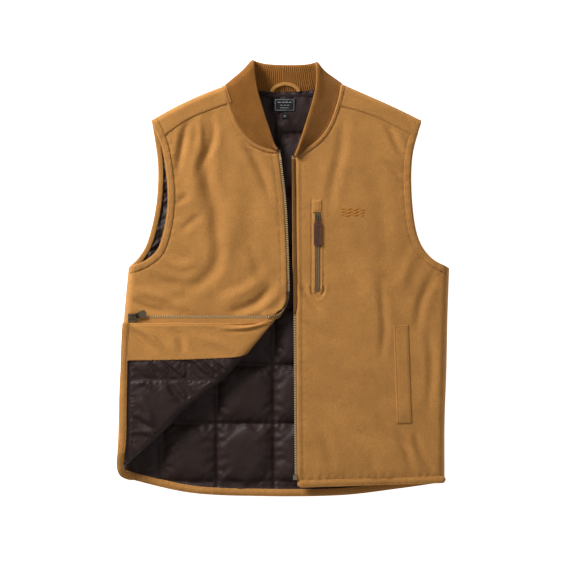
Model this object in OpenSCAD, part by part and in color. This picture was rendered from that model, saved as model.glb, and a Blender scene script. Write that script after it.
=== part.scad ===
// Quilt-lined canvas vest, laid on its back with one lower front corner folded open.
// X runs across the body, Y from the hem to the collar and Z up from the floor.
// "left" and "right" are the wearer's own, so the left side lies at +X.

/* [Body] */
// Width across the body at its widest
body_w = 581; // [540:1:620]
// Length from the lowest hem point to the collar's top
body_l = 761; // [740:1:780]
// Width of the bound edge along both hems
hem_w = 13; // [10:1:16]
// Width of the stitched band round each armhole
armhole_band_w = 12; // [8:1:14]
// Height of the back yoke seam above the body's middle
back_yoke_y = 228; // [215:1:240]

/* [Layers] */
// Thickness of the canvas
canvas_t = 2; // [1.6:0.2:2]
// Thickness of the lining cloth
lining_t = 1; // [0.6:0.2:1]
// Thickness of the back's padding
back_fill_t = 6; // [4:0.5:6]
// Space between the back's lining and the fronts' lining
torso_gap = 8; // [8:0.5:10]
// Thickness of each front's padding
front_fill_t = 4; // [3:0.5:4]
// Thickness of a flat pocket bag
bag_t = 2; // [1:0.5:2]

/* [Collar] */
// Thickness of the folded rib band
rib_t = 6; // [4:0.5:7]
// Width of the band's turned side edge
rib_side_w = 5; // [4:0.5:7]

/* [Folded corner] */
// Clear strip on each side of the fold line
fold_clear = 6; // [5:0.5:8]
// Height of the folded layers' gap above the front canvas
fold_gap = 4; // [4:0.5:6]
// Width of the canvas facing beside the zip
facing_w = 75; // [60:1:80]

/* [Main zip] */
// Distance from one tooth to the next
tooth_pitch = 3; // [2.8:0.1:3.6]
// How far a tooth stands out from its tape
tooth_reach = 3.4; // [3:0.1:3.6]
// Width of a tooth along the chain
tooth_w = 1.4; // [1:0.1:1.6]
// Thickness of a tooth
tooth_t = 2.8; // [2.4:0.1:2.8]
// Width of one tape
tape_w = 14; // [12:1:16]
// Thickness of the tape
tape_t = 1.2; // [0.8:0.1:1.2]
// Length of the slider along the chain
slider_l = 14; // [13:0.5:15]
// Width of the slider
slider_w = 15; // [14:0.5:16]
// Length of the pull
pull_l = 26; // [22:1:28]
// Turn of the pull from the chain's direction
pull_turn = 20; // [0:1:22]

/* [Chest zip] */
// Distance of the chest zip from the body's middle
chest_x = 59.5; // [57:0.5:62]
// Height of the zip's top end above the body's middle
chest_top_y = 115; // [105:1:120]
// Length of the zip
chest_zip_l = 137; // [125:1:145]
// Length of the leather pull tab
tab_l = 38; // [30:1:42]
// Width of the leather pull tab
tab_w = 13; // [10:1:14]

/* [Hand pockets] */
// Width of a pocket's welt
welt_w = 25; // [20:1:28]
// Length of a pocket's welt
welt_l = 170; // [150:1:175]

/* [Neck trim] */
// Width of the neck label
label_w = 37; // [30:1:42]
// Height of the neck label
label_h = 23; // [18:1:24]

/* [Hidden] */

half_w = body_w / 2;
half_l = body_l / 2;
eps = 0.01;
edge_slack = 0.3;
far = 400;

// Heights of the layers' lower faces
back_fill_z = canvas_t;
back_lining_z = back_fill_z + back_fill_t;
back_top_z = back_lining_z + lining_t;
front_lining_z = back_top_z + torso_gap;
front_fill_z = front_lining_z + lining_t;
bag_z = front_fill_z + front_fill_t;
front_shell_z = bag_z + bag_t;
front_top_z = front_shell_z + canvas_t;
fold_z = front_top_z + fold_gap / 2;
facing_t = lining_t + 0.5;

// A layer of the folded corner lies as far above the fold as its twin lies below it.
function folded(z) = 2 * fold_z - z;

// Colours
canvas = [0.71, 0.51, 0.28];
rib = [0.55, 0.37, 0.18];
lining = [0.22, 0.17, 0.17];
padding = [0.85, 0.84, 0.80];
leather = [0.37, 0.24, 0.18];
gunmetal = [0.38, 0.31, 0.24];
tape = [0.55, 0.38, 0.20];
black = [0.10, 0.10, 0.11];

// ---- Curves ----

// A point between b and c on the smooth curve through a, b, c and d
function spline_point(a, b, c, d, t) =
    0.5 * (2 * b + (c - a) * t + (2 * a - 5 * b + 4 * c - d) * t ^ 2 + (3 * b - a - 3 * c + d) * t ^ 3);

// A smooth curve through the points, with n steps between each two
function smooth(p, n = 4) =
    let (last = len(p) - 1)
    [for (i = [0:last - 1])
        for (k = [0:n - 1])
            spline_point(p[max(i - 1, 0)], p[i], p[i + 1], p[min(i + 2, last)], k / n),
     p[last]];

function reversed(p) = [for (i = [len(p) - 1:-1:0]) p[i]];

function joined(parts) = [for (part = parts) each part];

function unit(v) = v / norm(v);

// The curve's direction at point i
function direction(p, i) = unit(p[min(i + 1, len(p) - 1)] - p[max(i - 1, 0)]);

// The curve moved sideways by d, towards the left of its direction
function beside(p, d) =
    [for (i = [0:len(p) - 1]) let (u = direction(p, i)) p[i] + d * [-u[1], u[0]]];

// The closed outline of a band of width d along a curve
function band_of(p, d) = concat(p, reversed(beside(p, d)));

// The point at height y on the straight line from a to b
function at_y(a, b, y) = a + (b - a) * (y - a[1]) / (b[1] - a[1]);

// The point at distance x on the straight line from a to b
function at_x(a, b, x) = a + (b - a) * (x - a[0]) / (b[0] - a[0]);

module plate(outline, low, high) {
    translate([0, 0, low])
        linear_extrude(high - low)
            polygon(outline);
}

module block(low, high) {
    translate(low)
        cube(high - low);
}

// ---- Edges of the pieces ----

// Neck and shoulders
neck_left = [101, 340];
neck_right = [-100, 337];
tip_left = [241, 276];
tip_right = [-230, 276];
collar_tip_left = [59, half_l - 3];
collar_tip_right = [-52, half_l];
zip_top_left = [16, 211];
zip_top_right = [-5, 221];
neck_seam_back = smooth([neck_right, [-50, 328], [5, 325], [55, 328], neck_left]);
neck_seam_left = smooth([neck_left, [98, 321], [84, 277], [65, 246], [39, 225], [22, 213]]);
neck_seam_right = smooth([neck_right, [-94, 312], [-79, 270], [-58, 241], [-33, 227.5], [-11, 224]]);

// Armholes, from the shoulder down to the underarm
underarm_left = [half_w, 18];
underarm_right = [20 - half_w, 20];
armhole_left = smooth([tip_left, [224, 214], [223, 140], [233, 74], [256, 37], underarm_left]);
armhole_right_back = smooth([tip_right, [-219, 200], [-222, 130], [-236, 68], [-252, 38], underarm_right]);
armhole_right_front = smooth([tip_right, [-209, 222], [-200, 137], [-213, 62], [-236, 34], underarm_right]);

// Sides, from the underarm down to the hem
hem_corner_left = [half_w - 8, -355];
side_left = smooth([underarm_left, [half_w - 3, -66], [half_w - 5, -164], [half_w - 8, -250],
                    hem_corner_left]);
side_right = smooth([underarm_right, [12 - half_w, -66], [4 - half_w, -186], [2 - half_w, -265],
                     [0.06 - half_w, -318], [6 - half_w, -346]]);

// Hems, from the wearer's right to the left
hem_back = smooth([[6 - half_w, -346], [-163, -374], [-30, 0.3 - half_l], [100, 2 - half_l],
                   [200, -367], hem_corner_left]);
hem_front_left = [[26, -363], hem_corner_left];

// Front edges with the zip, from the neck down
zip_bottom_left = [20, -340];
tooth_line_left = [zip_top_left, zip_bottom_left];
tooth_line_right = smooth([zip_top_right, [5, 137], [9.5, 50], [11, -22]]);

// Yoke seams on the fronts, from the neck to the armhole
yoke_seam_left = smooth([[95, 306], [161, 286], [223, 254]]);
yoke_seam_right = smooth([[-91, 311], [-163, 283], [-213, 249]]);

// The fold line runs from the front edge to the hem's corner at the side.
fold_top = [12, -66];
fold_bottom = [5.5 - half_w, -333];
fold_u = unit(fold_bottom - fold_top);
fold_n = [fold_u[1], -fold_u[0]];
fold_a = fold_top + fold_clear * fold_n;
fold_b = fold_bottom + fold_clear * fold_n;

// The folded corner's front edge and hem, as they lie
flap_teeth_y = -64;
flap_teeth_x = [-270, -24];
flap_edge_y = flap_teeth_y - slider_w / 2 - 4;
flap_hem_x = 7.5 - half_w;
flap_facing_y = flap_teeth_y - facing_w;

// ---- Outlines ----

back_outline = joined([hem_back, reversed(side_left), reversed(armhole_left),
                       [neck_left], reversed(neck_seam_back), [tip_right],
                       armhole_right_back, side_right]);
front_left_edge = beside(tooth_line_left, 5);
front_left_outline = joined([[front_left_edge[0]], [hem_front_left[0]], [hem_front_left[1]],
                             reversed(side_left), reversed(armhole_left), neck_seam_left]);
front_right_edge = beside(tooth_line_right, -5);
front_right_outline = joined([reversed(neck_seam_right), armhole_right_front,
                              [for (p = side_right) if (p[1] > fold_b[1]) p],
                              [fold_b], [at_x(fold_a, fold_b, 0)], [[5, -34]],
                              reversed(front_right_edge)]);
flap_outline = [[flap_hem_x, flap_edge_y], at_x(fold_a, fold_b, flap_hem_x),
                at_y(fold_a, fold_b, flap_edge_y)];
// The turned shoulder edges start a little way out from the collar.
shoulder_left = [neck_left + 3 * unit(tip_left - neck_left), tip_left];
shoulder_right = [neck_right + 3 * unit(tip_right - neck_right), tip_right];

// ---- Bands and cuts shared by the layers ----

module armhole_bands_front(low, high) {
    plate(band_of(armhole_left, -armhole_band_w), low, high);
    plate(band_of(armhole_right_front, armhole_band_w), low, high);
}

module armhole_bands_back(low, high) {
    plate(band_of(armhole_left, -armhole_band_w), low, high);
    plate(band_of(armhole_right_back, armhole_band_w), low, high);
}

// The turned edges at the sides, or the room for them when they are given some slack
module side_edges(low, high, slack = 0) {
    plate(band_of(side_left, -canvas_t - slack), low, high);
    plate(band_of(side_right, canvas_t + slack), low, high);
}

module shoulder_edges(low, high) {
    plate(band_of(shoulder_left, -canvas_t), low, high);
    plate(band_of(shoulder_right, canvas_t), low, high);
}

module above_yoke_seams(low, high) {
    plate(concat(yoke_seam_left, [[far, 260], [far, far], [90, far]]), low, high);
    plate(concat(yoke_seam_right, [[-far, 260], [-far, far], [-90, far]]), low, high);
}

// The zip's own strip beside each front edge, where neither padding nor lining goes
module facing_strips(low, high) {
    plate(band_of([[19, far], [19, -far]], facing_w), low, high);
    plate(band_of(smooth([[-20, 300], [5, 137], [9.5, 50], [11, -22], [11, -90]]), -facing_w), low, high);
}

// ---- Back ----

module back_shell() {
    color(canvas)
        difference() {
            plate(back_outline, 0, canvas_t);
            plate(band_of(hem_back, hem_w), -1, canvas_t + 1);
            armhole_bands_back(-1, canvas_t + 1);
            block([-far, back_yoke_y, -1], [far, far, canvas_t + 1]);
        }
}

module back_inside(low, high) {
    difference() {
        plate(back_outline, low, high);
        plate(band_of(hem_back, hem_w), low - 1, high + 1);
        armhole_bands_back(low - 1, high + 1);
        side_edges(low - 1, high + 1, edge_slack);
        shoulder_edges(low - 1, high + 1);
    }
}

module back_fill() {
    color(padding)
        back_inside(back_fill_z, back_lining_z);
}

module back_lining() {
    color(lining)
        back_inside(back_lining_z, back_top_z);
}

module shoulder_yoke() {
    color(canvas)
        difference() {
            union() {
                intersection() {
                    plate(back_outline, 0, canvas_t);
                    block([-far, back_yoke_y, -1], [far, far, canvas_t + 1]);
                }
                intersection() {
                    plate(back_outline, canvas_t - eps, front_shell_z + eps);
                    shoulder_edges(0, front_top_z);
                }
                intersection() {
                    union() {
                        plate(front_left_outline, front_shell_z, front_top_z);
                        plate(front_right_outline, front_shell_z, front_top_z);
                    }
                    above_yoke_seams(0, front_top_z + 1);
                }
            }
            armhole_bands_back(-1, back_top_z);
            armhole_bands_front(front_lining_z, front_top_z + 1);
        }
}

// ---- Fronts ----

module front_shell(outline, side, side_d) {
    difference() {
        union() {
            plate(outline, front_shell_z, front_top_z);
            plate(band_of(side, side_d), canvas_t, front_shell_z);
        }
        above_yoke_seams(front_shell_z - 1, front_top_z + 1);
        armhole_bands_front(0, front_top_z + 1);
    }
}

module chest_window(low, high) {
    block([chest_x - 6, chest_top_y - chest_zip_l, low], [chest_x + 6, chest_top_y, high]);
}

module front_left_shell() {
    color(canvas)
        difference() {
            front_shell(front_left_outline, [for (p = side_left) if (p[1] > -338) p], -canvas_t);
            plate(band_of(hem_front_left, hem_w), 0, front_top_z + 1);
            chest_window(front_shell_z - 1, front_top_z + 1);
        }
}

module front_right_shell() {
    color(canvas)
        front_shell(front_right_outline, [for (p = side_right) if (p[1] > fold_b[1]) p], canvas_t);
}

module front_inside(outline, low, high) {
    difference() {
        plate(outline, low, high);
        armhole_bands_front(low - 1, high + 1);
        side_edges(low - 1, high + 1, edge_slack);
        shoulder_edges(low - 1, high + 1);
        plate(band_of(hem_front_left, hem_w), low - 1, high + 1);
    }
}

module front_padded(outline, low, high) {
    difference() {
        front_inside(outline, low, high);
        facing_strips(low - 1, high + 1);
    }
}

module front_left_fill() {
    color(padding)
        front_padded(front_left_outline, front_fill_z, bag_z);
}

module front_left_lining() {
    color(lining)
        front_padded(front_left_outline, front_lining_z, front_fill_z);
}

module front_right_fill() {
    color(padding)
        front_padded(front_right_outline, front_fill_z, bag_z);
}

module front_right_lining() {
    color(lining)
        front_padded(front_right_outline, front_lining_z, front_fill_z);
}

module front_facing(outline) {
    intersection() {
        front_inside(outline, front_lining_z, front_lining_z + facing_t);
        facing_strips(front_lining_z - 1, front_fill_z + 1);
    }
}

module front_left_facing() {
    color(canvas)
        front_facing(front_left_outline);
}

module front_right_facing() {
    color(canvas)
        front_facing(front_right_outline);
}

// ---- Folded corner ----

module flap_hem_strip(low, high) {
    block([flap_hem_x - 1, -far, low], [flap_hem_x + hem_w, 0, high]);
}

module flap_shell() {
    color(canvas)
        difference() {
            plate(flap_outline, folded(front_top_z), folded(front_shell_z));
            flap_hem_strip(0, folded(0));
        }
}

module flap_padded(low, high) {
    difference() {
        plate(flap_outline, low, high);
        flap_hem_strip(0, folded(0));
        block([-far, flap_facing_y, low - 1], [far, 0, high + 1]);
    }
}

module flap_fill() {
    color(padding)
        flap_padded(folded(front_shell_z), folded(front_fill_z));
}

module flap_lining() {
    color(lining)
        flap_padded(folded(front_fill_z), folded(front_lining_z));
}

module flap_facing() {
    high = folded(front_lining_z);
    low = high - facing_t;
    color(canvas)
        difference() {
            union() {
                plate(flap_outline, low, high);
                intersection() {
                    plate(flap_outline, folded(front_shell_z - tape_t), low + eps);
                    block([-far, flap_edge_y - canvas_t, 0], [far, flap_edge_y + 1, high]);
                }
            }
            flap_hem_strip(0, high + 1);
            block([-far, -far, 0], [far, flap_facing_y, high + 1]);
        }
}

// ---- Bound edges ----

module armhole_binding_left() {
    color(canvas) {
        plate(band_of(armhole_left, -armhole_band_w), 0, back_top_z);
        plate(band_of(armhole_left, -armhole_band_w), front_lining_z, front_top_z);
    }
}

module armhole_binding_right() {
    color(canvas) {
        plate(band_of(armhole_right_back, armhole_band_w), 0, back_top_z);
        plate(band_of(armhole_right_front, armhole_band_w), front_lining_z, front_top_z);
    }
}

module hem_binding_back() {
    color(canvas)
        difference() {
            plate(band_of(hem_back, hem_w), 0, back_top_z);
            plate(band_of([for (p = side_left) if (p[1] > -339) p], -canvas_t), canvas_t, back_top_z + 1);
        }
}

module hem_binding_front_left() {
    color(canvas)
        plate(band_of(hem_front_left, hem_w), front_lining_z, front_top_z);
}

module hem_binding_flap() {
    color(canvas)
        intersection() {
            plate(flap_outline, folded(front_top_z), folded(front_lining_z));
            flap_hem_strip(0, folded(0));
        }
}

// ---- Rib collar and neck ----

module collar_half(inner_edge, seam) {
    plate(concat(inner_edge, seam), front_top_z + 2 - rib_t, front_top_z + 2);
}

module rib_collar() {
    low = canvas_t + eps;
    high = front_top_z + 2;
    right_edge = smooth([[-13, 226], [-23, 256], [-33, 286], [-46, 332], collar_tip_right]);
    left_edge = smooth([[22, 216], [41, 274], [56, 330], collar_tip_left]);
    back_part = joined([neck_seam_back, [collar_tip_left], [[7, half_l - 8]], [collar_tip_right]]);
    color(rib) {
        plate(back_part, low, low + rib_t);
        collar_half(right_edge, neck_seam_right);
        collar_half(left_edge, neck_seam_left);
        // The turned side edges join the back part to the halves.
        intersection() {
            plate(back_part, low + rib_t - eps, high - rib_t + eps);
            union() {
                plate(band_of([neck_right, collar_tip_right], -rib_side_w), low, high);
                plate(band_of([collar_tip_left, neck_left], -rib_side_w), low, high);
            }
        }
    }
}

module neck_tape() {
    color(black)
        plate(band_of(smooth([[-62, 326], [5, 322.5], [68, 326]]), -6), back_top_z, back_top_z + 0.8);
}

loop_center = [3.5, 328];
loop_r = 26;
loop_strip_w = 6;
loop_z = canvas_t + rib_t + 0.5;

module hanger_loop() {
    rise = 16 / loop_r;
    arch = [for (a = [0:10:180]) loop_center + [loop_r * cos(a), loop_r * rise * sin(a)]];
    hole = [for (a = [0:10:180])
            loop_center + [(loop_r - loop_strip_w) * cos(a), (loop_r * rise - loop_strip_w) * sin(a)]];
    color(canvas)
        plate(concat(arch, reversed(hole)), loop_z, loop_z + 2);
}

module neck_label() {
    center = [2.5, 303];
    rim = 1;
    color(black)
        block([center[0] - label_w / 2, center[1] - label_h / 2, back_top_z],
              [center[0] + label_w / 2, center[1] + label_h / 2, back_top_z + 0.8]);
    color(canvas)
        difference() {
            block([center[0] - label_w / 2 + rim, center[1] - label_h / 2 + rim, back_top_z + 0.8],
                  [center[0] + label_w / 2 - rim, center[1] + label_h / 2 - rim, back_top_z + 1]);
            block([center[0] - label_w / 2 + 2 * rim, center[1] - label_h / 2 + 2 * rim, back_top_z + 0.5],
                  [center[0] + label_w / 2 - 2 * rim, center[1] + label_h / 2 - 2 * rim, back_top_z + 2]);
        }
}

module size_tab() {
    color(black)
        block([-3, 279.5, back_top_z], [9, 288.5, back_top_z + 0.6]);
}

// ---- Main zip ----

// Teeth along a curve, each reaching from the curve to the given side of it
module tooth_row(p, side, z) {
    total = norm(p[len(p) - 1] - p[0]);
    count = floor(total / tooth_pitch);
    for (k = [0:count - 1]) {
        at = (k + 0.5) / count * (len(p) - 1);
        i = floor(at);
        u = unit(p[i + 1] - p[i]);
        q = p[i] + (p[i + 1] - p[i]) * (at - i);
        translate([q[0], q[1], z - tooth_t / 2])
            rotate(atan2(u[1], u[0]))
                block([-tooth_w / 2, min(0, side * tooth_reach), 0],
                      [tooth_w / 2, max(0, side * tooth_reach), tooth_t]);
    }
}

module zip_tape(p, side, low) {
    plate(band_of(beside(p, side * tooth_reach), side * (tape_w - tooth_reach)), low, low + tape_t);
}

tape_z = front_shell_z - tape_t;
chain_z = front_shell_z - tape_t / 2;

module zip_tape_left() {
    color(tape)
        zip_tape(tooth_line_left, 1, tape_z);
}

module zip_tape_right() {
    color(tape)
        zip_tape(tooth_line_right, -1, tape_z);
}

flap_tooth_line = [[flap_teeth_x[0], flap_teeth_y], [flap_teeth_x[1], flap_teeth_y]];

module zip_tape_flap() {
    color(tape)
        zip_tape(flap_tooth_line, -1, folded(front_shell_z));
}

module zip_teeth_left() {
    color(gunmetal)
        tooth_row(tooth_line_left, 1, chain_z);
}

module zip_teeth_right() {
    color(gunmetal)
        tooth_row(tooth_line_right, -1, chain_z);
}

module zip_teeth_flap() {
    color(gunmetal)
        tooth_row(flap_tooth_line, -1, folded(chain_z));
}

module zip_top_stops() {
    reach = 4;
    color(gunmetal) {
        block([zip_top_left[0], zip_top_left[1], chain_z - 2],
              [zip_top_left[0] + reach, zip_top_left[1] + 3, chain_z + 2]);
        block([zip_top_right[0] - reach, zip_top_right[1], chain_z - 2],
              [zip_top_right[0], zip_top_right[1] + 3, chain_z + 2]);
    }
}

module zip_retainer_box() {
    color(gunmetal)
        block([zip_bottom_left[0] - 3, zip_bottom_left[1] - 9, chain_z - 2],
              [zip_bottom_left[0] + 4.5, zip_bottom_left[1] - 0.5, chain_z + 2]);
}

module zip_insertion_pin() {
    color(gunmetal)
        block([flap_teeth_x[0] - 7, flap_teeth_y - 3.4, folded(chain_z) - 1.2],
              [flap_teeth_x[0] - 0.4, flap_teeth_y, folded(chain_z) + 1.2]);
}

// The slider stands over the flap's row of teeth near its hem end.
slider_x = -261;
slider_y = flap_teeth_y - slider_w / 2 + 4;
slider_z = folded(chain_z);
plate_t = 1.5;
chain_room = tooth_t / 2 + 0.5;
slider_top_z = slider_z + chain_room + plate_t;
bar_r = 0.8;
bar_z = slider_top_z + 0.4 + bar_r;

module zip_slider() {
    y_low = slider_y - slider_w / 2;
    y_high = slider_y + slider_w / 2;
    x_low = slider_x - slider_l / 2;
    x_high = slider_x + slider_l / 2;
    bridge_z = bar_z + bar_r + 0.4;
    post_w = 2.5;
    slot_half = 1.1;
    color(gunmetal) {
        // Top and bottom plates, joined by the post beyond the teeth
        block([x_low, y_low, slider_z - chain_room - plate_t], [x_high, y_high, slider_z - chain_room]);
        block([x_low, y_low, slider_z + chain_room], [x_high, y_high, slider_z + chain_room + plate_t]);
        block([x_low, y_high - post_w, slider_z - chain_room - eps],
              [x_high, y_high, slider_z + chain_room + eps]);
        // Lower flanges, with the tape's slot between them
        block([x_low, y_low, slider_z - chain_room - eps], [x_high, y_low + plate_t, slider_z - slot_half]);
        block([x_low, y_low, slider_z + slot_half], [x_high, y_low + plate_t, slider_z + chain_room + eps]);
        // Bail that holds the pull
        block([slider_x - 5, slider_y - 1, slider_top_z - eps], [slider_x - 3.5, slider_y + 1, bridge_z]);
        block([slider_x + 3.5, slider_y - 1, slider_top_z - eps], [slider_x + 5, slider_y + 1, bridge_z]);
        block([slider_x - 5, slider_y - 1, bridge_z - eps], [slider_x + 5, slider_y + 1, bridge_z + 1.2]);
    }
}

// A flat pull with a window for the bail, a bar through it and a rounded end
module zip_pull() {
    half_gap = 2.9;
    arm_w = 1.5;
    window_l = 7;
    color(gunmetal)
        translate([slider_x, slider_y, bar_z])
            rotate(pull_turn) {
                rotate([90, 0, 0])
                    cylinder(r = bar_r, h = 2 * (half_gap + arm_w), center = true, $fn = 32);
                for (s = [-1, 1])
                    translate([window_l / 2, s * (half_gap + arm_w / 2), 0])
                        cube([window_l, arm_w, 2 * bar_r], center = true);
                translate([0, 0, -bar_r])
                    linear_extrude(2 * bar_r)
                        polygon([[window_l - eps, -half_gap - arm_w], [pull_l - 9, -6], [pull_l - 5, -6.4],
                                 [pull_l - 1.5, -5], [pull_l, -2], [pull_l, 2], [pull_l - 1.5, 5],
                                 [pull_l - 5, 6.4], [pull_l - 9, 6], [window_l - eps, half_gap + arm_w]]);
            }
}

// ---- Chest zip ----

chest_bottom_y = chest_top_y - chest_zip_l;
chest_pitch = 2;
chest_tooth = [2.5, 0.9, 2.2];
chest_gap = 0.6;
chest_chain_z = front_shell_z;
chest_tape_t = 0.8;
chest_plate_t = 1;
chest_room = 1.5;
chest_slider_w = 10;
chest_slider_l = 11;

module chest_zip_tape() {
    inner = chest_gap + chest_tooth[0];
    color(tape)
        for (s = [-1, 1])
            translate([chest_x + s * (inner + 4.5), (chest_top_y + chest_bottom_y) / 2, chest_chain_z - 0.45])
                cube([9, chest_zip_l, chest_tape_t], center = true);
}

module chest_zip_teeth() {
    first = chest_bottom_y + 5;
    count = floor((chest_top_y - 2 - first) / chest_pitch);
    color(gunmetal)
        for (k = [0:count - 1])
            for (s = [-1, 1])
                translate([chest_x + s * (chest_gap + chest_tooth[0] / 2),
                           first + (k + (s + 1) / 4) * chest_pitch, chest_chain_z])
                    cube(chest_tooth, center = true);
}

module chest_zip_stop() {
    color(gunmetal)
        block([chest_x - 4, chest_bottom_y + 0.5, chest_chain_z + 0.2],
              [chest_x + 4, chest_bottom_y + 3.5, chest_chain_z + 1.8]);
}

module chest_zip_garage() {
    garage_h = 21.5;
    color(canvas)
        block([chest_x - 9, chest_top_y + 0.5, front_top_z],
              [chest_x + 6, chest_top_y + 0.5 + garage_h, front_top_z + 1.2]);
}

chest_slider_y = chest_top_y - chest_slider_l / 2 - 0.5;
chest_slider_top_z = chest_chain_z + chest_room + chest_plate_t;
link_r = 0.6;
link_z = chest_slider_top_z + 0.6 + link_r;
link_y = chest_slider_y - 1;
link_l = 9;

module chest_slider() {
    y_low = chest_slider_y - chest_slider_l / 2;
    y_high = chest_slider_y + chest_slider_l / 2;
    x_low = chest_x - chest_slider_w / 2;
    x_high = chest_x + chest_slider_w / 2;
    bridge_z = link_z + link_r + 0.3;
    color(gunmetal) {
        for (low = [chest_chain_z - chest_room - chest_plate_t, chest_chain_z + chest_room])
            block([x_low, y_low, low], [x_high, y_high, low + chest_plate_t]);
        block([chest_x - 0.4, y_high - 3, chest_chain_z - chest_room - eps],
              [chest_x + 0.4, y_high, chest_chain_z + chest_room + eps]);
        for (end_y = [link_y - 3.5, link_y + 2.5])
            block([chest_x - 0.8, end_y, chest_slider_top_z - eps], [chest_x + 0.8, end_y + 1, bridge_z]);
        block([chest_x - 0.8, link_y - 3.5, bridge_z - eps], [chest_x + 0.8, link_y + 3.5, bridge_z + 0.8]);
    }
}

// A wire link: a bar in the bail, two sides, and a bar that holds the leather tab
module chest_pull_link() {
    half = 3;
    color(gunmetal)
        translate([chest_x, link_y, link_z]) {
            for (end_y = [0, -link_l])
                translate([0, end_y, 0])
                    rotate([0, 90, 0])
                        cylinder(r = link_r, h = 2 * half, center = true, $fn = 32);
            for (s = [-1, 1])
                translate([s * half, -link_l / 2, 0])
                    cube([2 * link_r, link_l + 2 * link_r, 2 * link_r], center = true);
        }
}

// The leather strip is folded round the link's far bar.
module chest_pull_tab() {
    eye_r = link_r + 0.15;
    leather_t = 0.8;
    eye_y = link_y - link_l;
    color(leather)
        difference() {
            union() {
                translate([chest_x, eye_y, link_z])
                    rotate([0, 90, 0])
                        cylinder(r = eye_r + leather_t, h = 4, center = true, $fn = 32);
                block([chest_x - 2, eye_y - 3, link_z - eye_r - leather_t],
                      [chest_x + 2, eye_y, link_z + eye_r + leather_t]);
                block([chest_x - tab_w / 2, eye_y - 2.5 - tab_l, link_z - leather_t],
                      [chest_x + tab_w / 2, eye_y - 2.5, link_z + leather_t]);
            }
            translate([chest_x, eye_y, link_z])
                rotate([0, 90, 0])
                    cylinder(r = eye_r, h = 10, center = true, $fn = 32);
        }
}

module chest_pocket_bag() {
    color(lining)
        block([chest_x - 30, chest_bottom_y - 20, front_lining_z + facing_t + 0.1],
              [chest_x + 34, chest_top_y + 5, front_lining_z + facing_t + 1.1]);
}

// ---- Hand pockets ----

// The welt leans a little, with its top towards the front edge.
module hand_welt_left() {
    color(canvas)
        translate([207.5, -81 - welt_l / 2, front_top_z])
            rotate(2)
                translate([-welt_w / 2, -welt_l / 2, 0])
                    cube([welt_w, welt_l, canvas_t - 0.5]);
}

module hand_welt_right() {
    color(canvas)
        translate([-200, -79 - (welt_l - 18) / 2, front_top_z])
            rotate(-2)
                translate([-welt_w / 2, -(welt_l - 18) / 2, 0])
                    cube([welt_w, welt_l - 18, canvas_t - 0.5]);
}

module hand_pocket_bag_left() {
    color(lining)
        plate([[105, -70], [205, -70], [212, -250], [190, -320], [110, -320]], bag_z, front_shell_z - 0.2);
}

// The right bag ends at the fold line.
module hand_pocket_bag_right() {
    start = at_x(fold_a, fold_b, -190);
    stop = at_x(fold_a, fold_b, -105);
    color(lining)
        plate([[-200, -70], [-105, -70], stop + [0, 4], start + [0, 4], [-212, -240]],
              bag_z, front_shell_z - 0.2);
}

// Three small waves of tonal thread stand for the embroidered mark.
module chest_embroidery() {
    thread_w = 1.2;
    start = [104, 121];
    spacing = 5;
    color(tape)
        for (k = [0:2])
            plate(band_of([for (a = [0:30:540]) start + [a / 15 - 1.5 * k, 1.6 * sin(a) - spacing * k]],
                          thread_w),
                  front_top_z, front_top_z + 0.5);
}

back_shell();
back_fill();
back_lining();
shoulder_yoke();
front_left_shell();
front_left_fill();
front_left_lining();
front_left_facing();
front_right_shell();
front_right_fill();
front_right_lining();
front_right_facing();
flap_shell();
flap_fill();
flap_lining();
flap_facing();
rib_collar();
neck_tape();
hanger_loop();
neck_label();
size_tab();
armhole_binding_left();
armhole_binding_right();
hem_binding_back();
hem_binding_front_left();
hem_binding_flap();
zip_tape_left();
zip_tape_right();
zip_tape_flap();
zip_teeth_left();
zip_teeth_right();
zip_teeth_flap();
zip_top_stops();
zip_retainer_box();
zip_insertion_pin();
zip_slider();
zip_pull();
chest_zip_tape();
chest_zip_teeth();
chest_zip_stop();
chest_zip_garage();
chest_slider();
chest_pull_link();
chest_pull_tab();
chest_pocket_bag();
hand_welt_left();
hand_welt_right();
hand_pocket_bag_left();
hand_pocket_bag_right();
chest_embroidery();
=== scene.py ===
"""The looks of a quilt-lined canvas vest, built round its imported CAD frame.

The vest lies on its back. X runs across it, Y from the hem to the collar and Z up. The wearer's
left side lies at +X. Outlines are in millimetres and repeat the design's own; meshes are in metres.
"""
import math

import bmesh
import bpy
import numpy as np
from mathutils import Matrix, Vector
from mathutils.bvhtree import BVHTree
from mathutils.kdtree import KDTree


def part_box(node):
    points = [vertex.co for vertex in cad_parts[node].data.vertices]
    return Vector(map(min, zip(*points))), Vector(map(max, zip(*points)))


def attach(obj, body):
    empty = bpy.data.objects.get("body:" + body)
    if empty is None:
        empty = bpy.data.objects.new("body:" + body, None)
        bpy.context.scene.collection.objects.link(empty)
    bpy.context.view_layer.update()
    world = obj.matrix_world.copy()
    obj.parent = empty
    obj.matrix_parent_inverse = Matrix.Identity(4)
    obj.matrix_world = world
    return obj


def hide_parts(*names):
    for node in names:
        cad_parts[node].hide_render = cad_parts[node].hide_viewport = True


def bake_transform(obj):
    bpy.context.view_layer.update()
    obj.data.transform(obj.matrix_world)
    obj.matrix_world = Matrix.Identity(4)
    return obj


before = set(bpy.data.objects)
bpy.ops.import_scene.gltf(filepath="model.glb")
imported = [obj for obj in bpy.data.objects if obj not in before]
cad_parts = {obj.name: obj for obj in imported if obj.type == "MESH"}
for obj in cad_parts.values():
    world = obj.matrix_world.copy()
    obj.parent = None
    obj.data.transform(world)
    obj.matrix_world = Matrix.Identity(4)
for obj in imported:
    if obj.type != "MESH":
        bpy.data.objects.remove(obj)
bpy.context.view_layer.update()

MM = 0.001


def span(node):
    """A CAD node's lowest and highest corner, in millimetres."""
    low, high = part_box(node)
    return np.array(low) / MM, np.array(high) / MM


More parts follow.
